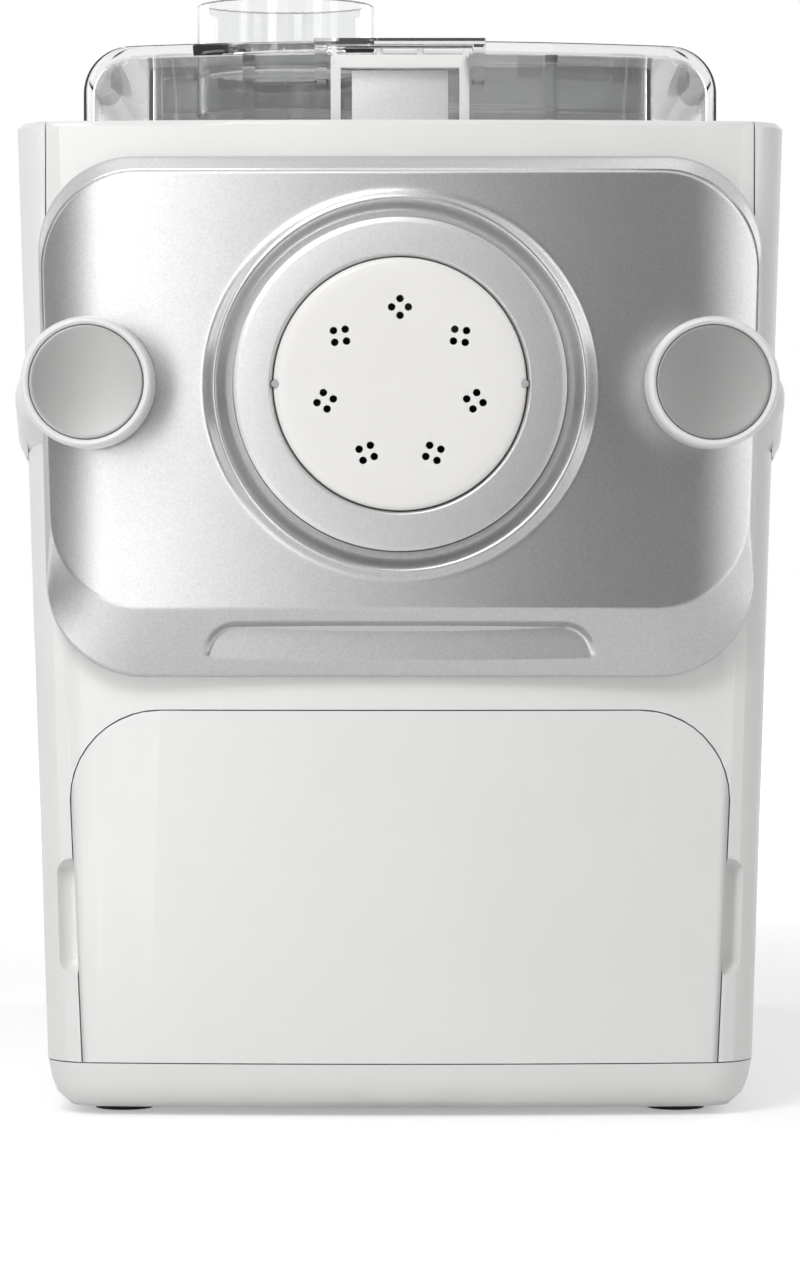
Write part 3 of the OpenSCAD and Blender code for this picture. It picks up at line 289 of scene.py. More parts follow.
def noise(tree, vector, scale, detail=2.0, roughness=0.5):
    node = add_node(tree, "TexNoise", {"Detail": detail, "Roughness": roughness})
    tree.links.new(vector, node.inputs["Vector"])
    if isinstance(scale, (int, float)):
        node.inputs["Scale"].default_value = scale
    else:
        tree.links.new(scale, node.inputs["Scale"])
    return node.outputs[0]


def varied(tree, noise_value, depth, around):
    """around + depth (noise - 0.5)."""
    away = math_node(tree, "SUBTRACT", noise_value, 0.5)
    return math_node(tree, "ADD", math_node(tree, "MULTIPLY", away, depth), around)


def group_moulded(name):
    """Moulded plastic: a very fine skin for the bump, and broad soft handling marks for the gloss."""
    group, entry, leave = new_group(
        name, {"Grain Scale": 2600.0, "Mark Scale": 28.0, "Gloss": 0.3, "Mark Depth": 0.08},
        ("Gloss", "Height", "Tone"))
    coords = object_coords(group)
    fine = noise(group, coords, entry["Grain Scale"], 3.0, 0.6)
    marks = noise(group, coords, entry["Mark Scale"], 4.0, 0.55)
    shift = math_node(group, "MULTIPLY", math_node(group, "SUBTRACT", marks, 0.5), entry["Mark Depth"])
    gloss = math_node(group, "ADD", entry["Gloss"], shift, True)
    link(group, (gloss, leave["Gloss"]), (fine, leave["Height"]),
         (varied(group, marks, 0.05, 1.0), leave["Tone"]))
    return group


def group_flake(name):
    """Metallic paint: small flakes, each with its own brightness, over a soft cloud of tone."""
    group, entry, leave = new_group(
        name, {"Flake Scale": 2400.0, "Flake Contrast": 0.2, "Cloud Contrast": 0.05}, ("Tone", "Height"))
    coords = object_coords(group)
    cells = add_node(group, "TexVoronoi")
    link(group, (coords, cells.inputs["Vector"]), (entry["Flake Scale"], cells.inputs["Scale"]))
    split = add_node(group, "SeparateColor")
    link(group, (cells.outputs["Color"], split.inputs[0]))
    clouds = varied(group, noise(group, coords, 40.0, 3.0), entry["Cloud Contrast"], 1.0)
    total = varied(group, split.outputs[0], entry["Flake Contrast"], clouds)
    link(group, (total, leave["Tone"]), (split.outputs[1], leave["Height"]))
    return group


def group_brushed(name):
    """Drawn or turned metal: noise stretched along X gives fine parallel lines."""
    group, entry, leave = new_group(name, {"Line Scale": 900.0, "Gloss": 0.3}, ("Gloss", "Height", "Tone"))
    coords = object_coords(group)
    mapping = add_node(group, "Mapping", {"Scale": (0.05, 1.0, 1.0)})
    link(group, (coords, mapping.inputs["Vector"]))
    lines = noise(group, mapping.outputs[0], entry["Line Scale"], 3.0, 0.6)
    shift = math_node(group, "MULTIPLY", math_node(group, "SUBTRACT", lines, 0.5), 0.2)
    gloss = math_node(group, "ADD", shift, entry["Gloss"], True)
    link(group, (gloss, leave["Gloss"]), (lines, leave["Height"]),
         (varied(group, lines, 0.12, 1.0), leave["Tone"]))
    return group


SHADER_GROUPS = {"MouldedSkin": group_moulded, "MetalFlake": group_flake, "BrushedLines": group_brushed}


def use_group(tree, name, values):
    """Outputs of a node that holds the shared group of that name, which is built at its first use."""
    node = add_node(tree, "Group")
    node.node_tree = bpy.data.node_groups.get(name) or SHADER_GROUPS[name](name)
    set_inputs(node, values)
    return node.outputs


# ------------ materials


def principled(name):
    material = bpy.data.materials.new(name)
    material.use_nodes = True
    tree = material.node_tree
    return material, tree, tree.nodes["Principled BSDF"]


def toned(tree, colour, tone, shader):
    """Base colour times a tone that varies over the surface."""
    mix = add_node(tree, "VectorMath")
    mix.operation = "SCALE"
    mix.inputs[0].default_value = colour[:3]
    link(tree, (tone, mix.inputs["Scale"]), (mix.outputs[0], shader.inputs["Base Color"]))


def bumped(tree, height, strength, distance, shader):
    node = add_node(tree, "Bump", {"Strength": strength, "Distance": distance})
    link(tree, (height, node.inputs["Height"]), (node.outputs[0], shader.inputs["Normal"]))


def moulded_material(name, colour, gloss=0.3, coat=0.25, grain=2600.0, bump=0.12, marks=0.08,
                     ior=1.46, metallic=0.0):
    material, tree, shader = principled(name)
    skin = use_group(tree, "MouldedSkin", {"Grain Scale": grain, "Gloss": gloss, "Mark Depth": marks})
    toned(tree, colour, skin["Tone"], shader)
    link(tree, (skin["Gloss"], shader.inputs["Roughness"]))
    bumped(tree, skin["Height"], bump, 0.00012, shader)
    set_inputs(shader, {"Coat Weight": coat, "Coat Roughness": 0.12, "IOR": ior, "Metallic": metallic})
    return material


def flake_material(name, colour, gloss=0.32, metallic=0.94, contrast=0.13):
    material, tree, shader = principled(name)
    flake = use_group(tree, "MetalFlake", {"Flake Contrast": contrast})
    toned(tree, colour, flake["Tone"], shader)
    bumped(tree, flake["Height"], 0.10, 0.00006, shader)
    set_inputs(shader, {"Roughness": gloss, "Metallic": metallic, "Coat Weight": 0.1, "Coat Roughness": 0.25})
    return material


def metal_material(name, colour, gloss=0.3, lines=900.0):
    material, tree, shader = principled(name)
    brushed = use_group(tree, "BrushedLines", {"Line Scale": lines, "Gloss": gloss})
    toned(tree, colour, brushed["Tone"], shader)
    link(tree, (brushed["Gloss"], shader.inputs["Roughness"]))
    bumped(tree, brushed["Height"], 0.15, 0.00005, shader)
    set_inputs(shader, {"Metallic": 1.0})
    return material


def clear_material(name, tint, inner):
    """Clear moulding with faint flow marks; the region inside the outer walls is made inner times as clear,
    painted shade for the darker inside seen through the lid.
    """
    material, tree, shader = principled(name)
    half, below, behind = LID_INNER
    split = add_node(tree, "SeparateXYZ")
    link(tree, (object_coords(tree), split.inputs[0]))
    x, y, z = split.outputs
    # painted shade: inside the outer walls the tint is scaled down by this mask
    inside = math_node(tree, "LESS_THAN", math_node(tree, "ABSOLUTE", x), half * 0.001)
    under = math_node(tree, "LESS_THAN", z, float(LID_HI[2] - below) * 0.001)
    past = math_node(tree, "GREATER_THAN", y, float(LID_LO[1] + behind) * 0.001)
    shade_mask = math_node(tree, "MULTIPLY", math_node(tree, "MULTIPLY", inside, under), past)
    shaded_clearness = math_node(tree, "ADD", math_node(tree, "MULTIPLY", shade_mask, inner - 1.0), 1.0)
    toned(tree, tint, shaded_clearness, shader)
    set_inputs(shader, {"Transmission Weight": 1.0, "IOR": 1.49})
    skin = use_group(tree, "MouldedSkin", {"Grain Scale": 60.0, "Gloss": 0.012, "Mark Depth": 0.02})
    link(tree, (skin["Gloss"], shader.inputs["Roughness"]))
    bumped(tree, skin["Height"], 0.01, 0.0001, shader)
    return material


MATERIALS = {}


def build_materials():
    """One material for each material slot of the record."""
    scene = bpy.context.scene
    white, disc = tuple(scene.pasta_housing.white), tuple(scene.pasta_extruder.disc_colour)
    ring, cap = tuple(scene.pasta_extruder.ring_colour), tuple(scene.pasta_knobs.cap_colour)
    MATERIALS.update(
        white_gloss=moulded_material("WhiteGloss", white, gloss=0.36, coat=0.3, ior=1.52),
        food_white=moulded_material("FoodWhite", disc, gloss=0.34, coat=0.15),
        silver_paint=flake_material("SilverPaint", tuple(scene.pasta_panel.silver)),
        ring_light=flake_material("RingLight", ring, gloss=0.40, metallic=0.85, contrast=0.10),
        knob_grey=flake_material("KnobGrey", cap, gloss=0.40, metallic=0.6, contrast=0.05),
        steel=metal_material("PlainSteel", (0.55, 0.56, 0.57)),
        brass=metal_material("TurnedBrass", (0.72, 0.52, 0.24), gloss=0.28),
        gear_grey=moulded_material("GearAcetal", (0.55, 0.54, 0.50), gloss=0.4, coat=0.0, bump=0.2),
        alloy=moulded_material("CastAlloy", (0.48, 0.49, 0.50), gloss=0.45, coat=0.0, grain=900.0, bump=0.5,
                               metallic=0.9),
        laminations=metal_material("Laminations", (0.20, 0.18, 0.16), gloss=0.45, lines=2600.0),
        black_plastic=moulded_material("BlackPlastic", (0.025, 0.025, 0.027), gloss=0.45, coat=0.0, bump=0.3),
        runner_grey=moulded_material("RunnerGrey", (0.66, 0.66, 0.66), gloss=0.4, coat=0.0),
        board_green=moulded_material("BoardGreen", (0.03, 0.16, 0.07), gloss=0.35, coat=0.4, grain=1200.0),
        rubber_dark=moulded_material("RubberDark", (0.035, 0.035, 0.037), gloss=0.75, coat=0.0,
                                     grain=1500.0, bump=0.5),
        rubber_light=moulded_material("RubberLight", (0.42, 0.43, 0.44), gloss=0.6, coat=0.0,
                                      grain=1500.0, bump=0.4),
        clear=clear_material("ClearLid", tuple(scene.pasta_lid.tint), scene.pasta_lid.inner_painted_shade),
        window_black=moulded_material("WindowBlack", (0.008, 0.008, 0.01), gloss=0.08, coat=1.0,
                                      bump=0.02, marks=0.04))


# ------------ mesh makers


SHARP = math.radians(35)


def finish_piece(mesh_object, body, slot_name, nodes=()):
    """Puts the piece on its body, gives it its material and hides the nodes that it stands for."""
    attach(mesh_object, body)
    mesh_object.data.materials.clear()
    mesh_object.data.materials.append(MATERIALS[slot_name])
    if nodes:
        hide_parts(*nodes)
    return mesh_object


def object_from_bmesh(name, bm, angle=SHARP):
    """New object with the bmesh's faces, smooth but for edges sharper than the angle; frees the bmesh."""
    mesh = bpy.data.meshes.new(name)
    bm.to_mesh(mesh)
    bm.free()
    mesh.shade_smooth()
    mesh.set_sharp_from_angle(angle=angle)
    piece = bpy.data.objects.new(name, mesh)
    bpy.context.scene.collection.objects.link(piece)
    return piece


def grid_piece(name, points, wrap_u=False, wrap_v=False, angle=SHARP):
    """Closed surface from the grid of points P[i, j] in millimetres.

    Each quad joins P[i, j], P[i+1, j], P[i+1, j+1] and P[i, j+1]; a wrapped direction also joins
    its last row to its first. Points that fall together, as at a pole, are merged.
    """
    nu, nv = points.shape[:2]
    index = np.arange(nu * nv).reshape(nu, nv)
    if wrap_u:
        index = np.vstack([index, index[:1]])
    if wrap_v:
        index = np.hstack([index, index[:, :1]])
    quads = np.stack([index[:-1, :-1], index[1:, :-1], index[1:, 1:], index[:-1, 1:]], -1)
    quads = quads.reshape(-1, 4)
    mesh = bpy.data.meshes.new(name)
    mesh.vertices.add(nu * nv)
    mesh.vertices.foreach_set("co", (points.reshape(-1, 3) * 0.001).ravel())
    mesh.loops.add(quads.size)
    mesh.loops.foreach_set("vertex_index", quads.ravel())
    mesh.polygons.add(len(quads))
    mesh.polygons.foreach_set("loop_start", np.arange(0, quads.size, 4))
    mesh.update(calc_edges=True)
    mesh.validate()
    bm = bmesh.new()
    bm.from_mesh(mesh)
    bpy.data.meshes.remove(mesh)
    bmesh.ops.remove_doubles(bm, verts=bm.verts, dist=2e-6)
    bmesh.ops.dissolve_degenerate(bm, dist=1e-7, edges=bm.edges)
    bmesh.ops.recalc_face_normals(bm, faces=bm.faces)
    return object_from_bmesh(name, bm, angle)


def rows_piece(name, rows, wrap_v=False, angle=SHARP):
    """Closed surface from rows of points, each of which runs once round the piece."""
    return grid_piece(name, np.transpose(np.stack(rows), (1, 0, 2)), wrap_u=True, wrap_v=wrap_v, angle=angle)


def turned_piece(name, profile, x, z, steps=128):
    """Surface of revolution about the line along Y through (x, z).

    Point (i, j) = (x + r_j cos a_i, y_j, z + r_j sin a_i), with a_i evenly spaced round the turn and
    (r_j, y_j) the closed profile in millimetres.
    """
    r, y = np.asarray(profile, float).T
    a = np.linspace(0, 2 * math.pi, steps, endpoint=False)[:, None]
    points = np.stack([x + r * np.cos(a), np.broadcast_to(y, (steps, len(y))), z + r * np.sin(a)], -1)
    closed = not (abs(r[0]) < 1e-9 and abs(r[-1]) < 1e-9)
    return grid_piece(name, points, wrap_u=True, wrap_v=closed)


def rounded_profile(corners, steps=6):
    """Closed or open profile with each corner (r, y, radius) replaced by an arc-like quadratic curve.

    On a corner C with neighbours A and B the curve runs from C + f (A - C) to C + f (B - C) as
    (1-t)^2 P + 2 t (1-t) C + t^2 Q, with t from 0 to 1.
    """
    corners = [np.array(c, float) for c in corners]
    out = []
    for k, c in enumerate(corners):
        a, b = corners[k - 1], corners[(k + 1) % len(corners)]
        if c[2] <= 0 or (k in (0, len(corners) - 1) and c[0] == 0):
            out.append(c[:2])
            continue
        da, db = a[:2] - c[:2], b[:2] - c[:2]
        la, lb = np.hypot(*da), np.hypot(*db)
        p = c[:2] + da / la * min(c[2], la / 2)
        q = c[:2] + db / lb * min(c[2], lb / 2)
        for t in np.linspace(0, 1, steps):
            out.append((1 - t) ** 2 * p + 2 * t * (1 - t) * c[:2] + t ** 2 * q)
    return np.array(out)


def smoothed_copy(node, slot_name):
    """Copy of a frame node with merged points, smooth shading and crisp edges above the edge angle."""
    angle = bpy.context.scene.pasta_housing.edge_angle
    source = frame["nodes"][node]
    bm = bmesh.new()
    bm.from_mesh(source.data)
    bmesh.ops.remove_doubles(bm, verts=bm.verts, dist=3e-6)
    piece = object_from_bmesh(node + "_skin", bm, angle)
    weights = piece.modifiers.new("EvenShading", "WEIGHTED_NORMAL")
    weights.keep_sharp = True
    weights.weight = 60
    finish_piece(piece, source["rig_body"], slot_name, [node])


# ------------ front panel


def corner_arc(cx, cz, r, start, steps=24):
    a = np.radians(np.linspace(start, start + 90, steps))
    return np.stack([cx + r * np.cos(a), cz + r * np.sin(a)], -1)


def straight(p, q, steps):
    t = np.linspace(0, 1, steps + 2)[1:-1, None]
    return p + (q - p) * t


def panel_outline(inset, top, low, side, radius, top_hw, bottom_hw, spread):
    """Round the panel in the front view: four corner arcs joined by straight runs, evenly matched
    so that the same index lies on the same stretch for every inset. The lower run takes its points
    from spread, values from -1 to 1 across the middle of the panel."""
    r = radius - inset
    tx, bx = top_hw - side - radius, bottom_hw - side - radius
    tr = corner_arc(tx, top - radius, r, 0)
    tl = corner_arc(-tx, top - radius, r, 90)
    bl = corner_arc(-bx, low + radius, r, 180)
    br = corner_arc(bx, low + radius, r, 270)
    lower = np.stack([spread * bx, np.full(len(spread), low + radius - r)], -1)
    return np.concatenate([tr, straight(tr[-1], tl[0], 70), tl, straight(tl[-1], bl[0], 60), bl, lower, br,
                           straight(br[-1], tr[0], 60)])


def grip_depth(x, z, half, top, low):
    """0 outside the grip recess and 1 on its floor: a box with large upper corners and an open lower
    side, d = distance inside its outline, depth = smooth step of d over about two millimetres."""
    r = GRIP_CORNER
    dx = np.abs(x) - (half - r)
    dz = z - (top - r)
    edge = np.hypot(np.maximum(dx, 0), np.maximum(dz, 0)) - r + np.minimum(np.maximum(dx, dz), 0)
    width = 1.7 + 0.9 * np.clip((top - z) / 8, 0, 1)
    t = np.clip(-edge / width, 0, 1) * np.clip((z - low) / 0.4, 0, 1)
    return t * t * (3 - 2 * t)


def curve_weights(t):
    """Weights of the start, the corner and the end of a quadratic curve."""
    return (1 - t) ** 2, 2 * t * (1 - t), t ** 2


def build_front_panel():
    """Closed shell of the silver panel.

    Row by row from the rear rim: the side wall, a rounded edge, the bevel or lower slope, a second
    rounded edge, the bulged face, the ridge, the groove and the hole of the ring, then back along the
    inside. The face lies at y = y0 + R - sqrt(R^2 - x^2) + 0.006 (|x| - 84)^2, the last part only
    beyond |x| = 84.
    """
    props = bpy.context.scene.pasta_panel
    R = props.bulge_radius * 1000
    radius = props.corner_radius * 1000
    band, bevel = props.band_height * 1000, props.bevel_height * 1000
    top, low = PANEL_HI[2], PANEL_LO[2]
    top_hw = PANEL_HI[0]
    bottom_hw = top_hw - FOOT_INSET
    y0 = float(PANEL_LO[1])
    y_edge = y0 + EDGE_DEPTH
    grip = props.grip_half_width * 1000
    g_low, g_top = low + 4.9, low + 16.3

    # columns along the lower run, close together at the ends of the grip
    bx = bottom_hw - radius
    lower = np.unique(np.round(np.concatenate([
        np.linspace(-bx, -grip - 2, 14), np.linspace(-grip - 2, -grip + 13, 46),
        np.linspace(-grip + 13, grip - 13, 60), np.linspace(grip - 13, grip + 2, 46),
        np.linspace(grip + 2, bx, 14)]) / bx, 6))[1:-1]

    def bulge(x):
        return R - np.sqrt(R * R - x * x) + 0.006 * np.maximum(np.abs(x) - FLARE_FROM, 0) ** 2

    def outline(inset, side, drop, lift):
        return panel_outline(inset, top - drop, low + lift, side, radius, top_hw, bottom_hw, lower)

    def ring(r):
        return np.stack([r * np.cos(turn), AXIS_Z + r * np.sin(turn)], -1)

    A = outline(0, 0, 0, 0)
    B = outline(0, FACE_INSET, bevel, band)
    n = len(A)
    turn = np.arctan2(A[:, 1] - AXIS_Z, A[:, 0])
    rows = []

    def row(xz, y):
        rows.append(np.stack([xz[:, 0], np.broadcast_to(y, (n,)), xz[:, 1]], -1))

    # side wall and the first rounded edge
    rear = np.minimum(y0 + RIM_DEPTH, housing_front(A[:, 0]) - 0.3)
    row(A, rear)
    row(A, np.minimum(rear - 0.2, y_edge + 3.0))
    full = B - A
    length = np.hypot(*full.T)[:, None]
    yA = np.full(n, y_edge)
    yB = y0 + bulge(B[:, 0])
    reach = np.minimum(1.2, length * 0.4)
    f = (reach / length)[:, 0]
    start_y, end, end_y = yA + 1.2, A + full / length * reach, yA + (yB - yA) * f
    for w in map(curve_weights, np.linspace(0, 1, 7)):
        row(w[0] * A + w[1] * A + w[2] * end, w[0] * start_y + w[1] * yA + w[2] * end_y)
    # bevel or lower slope, from the share f of its width to the share g
    g = 1 - (np.minimum(0.9, length * 0.3) / length)[:, 0]
    for t in np.linspace(0, 1, 40)[1:-1]:
        share = f + (g - f) * t
        row(A + full * share[:, None], yA + (yB - yA) * share)
    # second edge; a fine line is pressed in above the face's upper edge, and fades down the sides
    start, start_y = A + full * g[:, None], yA + (yB - yA) * g
    circle = ring(RIDGE_FOOT)
    inward = circle - B
    inward /= np.hypot(*inward.T)[:, None]
    end = B + inward * 0.9
    end_y = y0 + bulge(end[:, 0])
    upper = np.clip((B[:, 1] - AXIS_Z) / 20, 0, 1)
    for t in np.linspace(0, 1, 9):
        w = curve_weights(t)
        line = 0.55 * upper * max(0.0, 1 - abs(t - 0.3) / 0.3)
        row(w[0] * start + w[1] * B + w[2] * end, w[0] * start_y + w[1] * yB + w[2] * end_y + line)
    for t in np.linspace(0, 1, 46)[1:]:
        xz = end + (circle - end) * t
        row(xz, y0 + bulge(xz[:, 0]))
    # outside the crest h = -height exp(-((r - crest) / spread)^2), inside it a smooth step down into the
    # groove; a negative height stands out to the front
    outside = [(r, -RIDGE_HEIGHT * math.exp(-((r - RIDGE_CREST) / RIDGE_SPREAD) ** 2))
               for r in np.linspace(RIDGE_FOOT, RIDGE_CREST, 26)[1:]]
    inside = [(RIDGE_CREST - RIDGE_RUN * t, -RIDGE_HEIGHT + GROOVE_STEP * t * t * (3 - 2 * t))
              for t in np.linspace(0, 1, 22)[1:]]
    for r, h in outside + inside + [(49.0, 1.7), (48.3, 1.8), (48.2, 2.4), (48.2, 8.0)]:
        xz = ring(r)
        fade = np.clip((r - 51) / 6, 0, 1)
        row(xz, y0 + bulge(xz[:, 0]) * fade + h)
    outer = np.stack(rows)

    # inside of the shell, a wall's thickness behind the outside
    hole_back = outer[-1].copy()
    hole_back[:, 1] = y0 + 6.0
    back_circle = ring(RIDGE_FOOT - 1.0)
    back_circle = np.stack([back_circle[:, 0], np.full(n, y0 + 6.0), back_circle[:, 1]], -1)
    Bi = outline(PANEL_WALL, FACE_INSET, bevel, band)
    Ai = outline(PANEL_WALL, 0, 0, 0)
    face_in = np.stack([Bi[:, 0], y0 + PANEL_WALL + bulge(Bi[:, 0]), Bi[:, 1]], -1)
    mid_in, ring_in = (back_circle + face_in) / 2, back_circle.copy()
    for part in (mid_in, ring_in):
        part[:, 1] = y0 + PANEL_WALL + bulge(part[:, 0])
    edge_in = np.stack([Ai[:, 0], np.full(n, y_edge + PANEL_WALL), Ai[:, 1]], -1)
    rim_in = np.stack([Ai[:, 0], np.maximum(edge_in[:, 1], rear), Ai[:, 1]], -1)
    P = np.concatenate([outer, np.stack([hole_back, back_circle, ring_in, mid_in, face_in, edge_in, rim_in])])

    # the grip recess pushes the slope, and the inside behind it, to the rear
    depth = grip_depth(P[..., 0], P[..., 2], grip, g_top, g_low)
    in_front = (np.arange(len(P)) < len(outer))[:, None]
    floor = y0 + 6.7 + 0.07 * (P[..., 2] - g_low)
    target = np.where(in_front, floor, floor + 2.0)
    P[..., 1] = P[..., 1] + (np.maximum(target, P[..., 1]) - P[..., 1]) * depth
    # a flat seat receives each knob, which hides the hole of its screw
    seat = y0 + float(bulge(KNOB_X))
    for s in (-1, 1):
        d = np.hypot(P[..., 0] - s * KNOB_X, P[..., 2] - AXIS_Z)
        t = np.clip((SEAT_R - d) / 0.5, 0, 1)
        P[..., 1] = np.where(in_front & (P[..., 1] < seat), P[..., 1] + (seat - P[..., 1]) * t, P[..., 1])
    piece = rows_piece("panel_face", P, wrap_v=True, angle=math.radians(50))
    finish_piece(piece, "front_panel", "silver_paint", ["front_panel"])


def housing_front(x):
    """Y of the housing's front at x: an arc of one metre radius, then the round corner."""
    R, r = FRONT_R, FRONT_CORNER
    cx = FRONT_HALF - r
    ly = FRONT_Y + (R - math.sqrt(R * R - cx * cx)) + r
    ax = np.abs(x)
    arc = FRONT_Y + R - np.sqrt(R * R - np.minimum(ax, cx) ** 2)
    turn = ly - np.sqrt(np.maximum(r * r - np.clip(ax - cx, 0, r) ** 2, 0))
    return np.where(ax <= cx, arc, turn)


# ------------ lid


def plan_outline(hx, ya, yb, r):
    """Rounded rectangle in plan: four corner arcs and even straight runs, as rows (x, y)."""
    yc, hy = (ya + yb) / 2, (yb - ya) / 2
    arcs = [corner_arc(sx * (hx - r), sy * (hy - r), r, start, 10)
            for sx, sy, start in ((1, 1, 0), (-1, 1, 90), (-1, -1, 180), (1, -1, 270))]
    parts = []
    for k, steps in enumerate((64, 40, 64, 40)):
        parts += [arcs[k], straight(arcs[k][-1], arcs[(k + 1) % 4][0], steps)]
    return np.concatenate(parts) + [0, yc]


def lid_rings(inset, back):
    """Rings of the lid's form moved inwards, from the lower edge up to the middle of the crowned top.

    Ring a has its sides r (1 - cos a) further in and its front and back on an ellipse, and
    z = low + (top - crown (x / cx)^2 - low) (rise of a); the top's rings shrink to the middle.
    """
    hw, low = float(LID_HI[0]) - inset, float(LID_LO[2])
    top = float(LID_HI[2]) - inset * LID_TOP / LID_WALL
    ya, yb = float(LID_LO[1]) + inset, back - inset
    r = LID_SHOULDER - inset
    cx = hw - r
    full = top - LID_CROWN - low
    edge = LID_EDGE - inset * 0.1
    rc = 1.4 - inset * 0.2
    rows = []

    def ring(xy, g):
        z = low + (top - LID_CROWN * np.minimum(1, np.abs(xy[:, 0]) / cx) ** 2 - low) * g
        rows.append(np.column_stack([xy, z]))

    ring(plan_outline(hw - 0.35, ya + 0.35, yb - 0.35, rc - 0.3), 0.0)
    for g in np.linspace(0.35, full - r, 6) / full:
        ring(plan_outline(hw, ya, yb, rc), g)
    fine = np.degrees(np.arcsin(1 - np.linspace(edge, 0.02, 7) / r))
    for a in np.radians(np.unique(np.round(np.concatenate([np.linspace(0, 90, 16)[1:], fine]), 3))):
        left = r - r * math.sin(a)
        t = max(0.0, 1 - left / edge)
        deep = edge * (1 - math.sqrt(max(0.0, 1 - t * t)))
        xy = plan_outline(hw - r * (1 - math.cos(a)), ya + deep, yb - deep, rc)
        ring(xy, 1 - left / full)
    xy = plan_outline(cx, ya + edge, yb - edge, rc)
    middle = np.array([0.0, (ya + yb) / 2])
    for t in np.linspace(1, 0, 16)[1:]:
        ring(middle + (xy - middle) * t, 1.0)
    return np.stack(rows)


def cut_cylinder(piece, x, y, r, z0, z1):
    """Cuts an upright round hole, in millimetres, out of the piece's own mesh."""
    bm = bmesh.new()
    bmesh.ops.create_cone(bm, cap_ends=True, segments=128, radius1=r * 0.001, radius2=r * 0.001,
                          depth=(z1 - z0) * 0.001)
    bmesh.ops.translate(bm, verts=bm.verts, vec=(x * 0.001, y * 0.001, (z0 + z1) * 0.0005))
    cutter = object_from_bmesh("Cutter", bm)
    cut = piece.modifiers.new("Cut", "BOOLEAN")
    cut.operation, cut.solver, cut.object = "DIFFERENCE", "EXACT", cutter
    bpy.context.view_layer.update()
    mesh = bpy.data.meshes.new_from_object(piece.evaluated_get(bpy.context.evaluated_depsgraph_get()))
    piece.modifiers.clear()
    piece.data = mesh
    bpy.data.objects.remove(cutter)
    mesh.shade_smooth()
    mesh.set_sharp_from_angle(angle=SHARP)


def prism(name, outline, axis, start, end):
    """Closed prism of a convex outline in millimetres, along X (outline in y, z) or Y (outline in x, z)."""
    outline = np.asarray(outline, float)
    centre = np.broadcast_to(outline.mean(0), outline.shape)
    rows = []
    for flat, depth in ((centre, start), (outline, start), (outline, end), (centre, end)):
        rows.append(np.insert(flat, 0 if axis == "X" else 1, depth, axis=1))
    return rows_piece(name, rows)


def build_lid():
    """Clear lid: a crowned shell with round shoulders, its inner rim, two ribs and two hinge knuckles."""
    body = frame["nodes"]["lid"]["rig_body"]
    pin_lo, pin_hi = box_mm("lid_hinge_pins")
    hinge_y, hinge_z = (pin_lo[1:] + pin_hi[1:]) / 2
    back = hinge_y - KNUCKLE_R - 1.0
    outer, inner = lid_rings(0.0, back), lid_rings(LID_WALL, back)
    shell = rows_piece("lid_shell", np.concatenate([outer[::-1], inner]))
    spout_lo, spout_hi = box_mm("lid_spout")
    sx, sy = (spout_lo[:2] + spout_hi[:2]) / 2
    cut_cylinder(shell, sx, sy, (spout_hi[0] - spout_lo[0]) / 2 - 1.1, spout_lo[2], spout_hi[2])
    finish_piece(shell, body, "clear", ["lid"])

    # catch: a tab over the latch and two lugs below it, against the front wall
    catch_lo, catch_hi = box_mm("lid_catch")
    y0, y1 = catch_lo[1], float(LID_LO[1]) - 0.03
    for name, x0, x1, z0, z1 in (
            ("lid_tab", catch_lo[0], catch_hi[0], catch_hi[2] - 1.8, catch_hi[2]),
            ("lid_lug_left", -25.0, -21.4, catch_lo[2], catch_hi[2] - 1.83),
            ("lid_lug_right", 21.4, 25.0, catch_lo[2], catch_hi[2] - 1.83)):
        block = prism(name, plan_outline((x1 - x0) / 2, z0, z1, 0.5) + [(x0 + x1) / 2, 0], "Y", y0, y1)
        finish_piece(block, body, "clear", ["lid_catch"] if name == "lid_tab" else ())

    # inner rim: outer and inner upright faces, its top just under the crowned plate
    seal_lo, seal_hi = box_mm("lid_seal")
    hx, ya, yb = seal_hi[0] - 1.5, seal_lo[1] + 1.5, seal_hi[1] - 1.5
    cx = float(LID_HI[0]) - LID_SHOULDER
    rows = []
    t = RIM_WALL
    for inset, level in ((0.0, 0.3), (0.0, 1.0), (t, 1.0), (t, 0.3), (t - 0.3, 0.0), (0.3, 0.0)):
        xy = plan_outline(hx - inset, ya + inset, yb - inset, 5.0 - inset)
        under = float(LID_HI[2]) - LID_TOP - 0.06 - LID_CROWN * (xy[:, 0] / cx) ** 2
        low = seal_hi[2] + 0.05
        z = under if level == 1.0 else np.full(len(xy), low + level)
        rows.append(np.column_stack([xy, z]))
    rim = rows_piece("lid_inner_rim", rows, wrap_v=True)
    finish_piece(rim, body, "clear")
    for side, s in (("left", -1), ("right", 1)):
        y0, y1 = float(LID_LO[1]) + LID_WALL + 0.06, ya - 0.06
        z0, z1 = seal_hi[2] + 0.4, float(LID_HI[2]) - LID_TOP - 0.62
        x0, x1 = s * 45 - 1.8, s * 45 + 1.8
        rib = prism("lid_rib_" + side, [(x0, z0), (x1, z0), (x1, z1), (x0, z1)], "Y", y0, y1)
        finish_piece(rib, body, "clear")
        a = np.radians(np.linspace(-90, 90, 25))
        bow = np.column_stack([hinge_y + KNUCKLE_R * np.cos(a), hinge_z + KNUCKLE_R * np.sin(a)])
        foot = [(back + 0.05, hinge_z + KNUCKLE_R), (back + 0.05, hinge_z - KNUCKLE_R)]
        knuckle = prism("lid_knuckle_" + side, np.concatenate([bow, foot]), "X", s * 60 - 10.4, s * 60 + 10.4)
        finish_piece(knuckle, body, "clear")


# ------------ stage


WHITE = (1.0, 1.0, 1.0, 1.0)


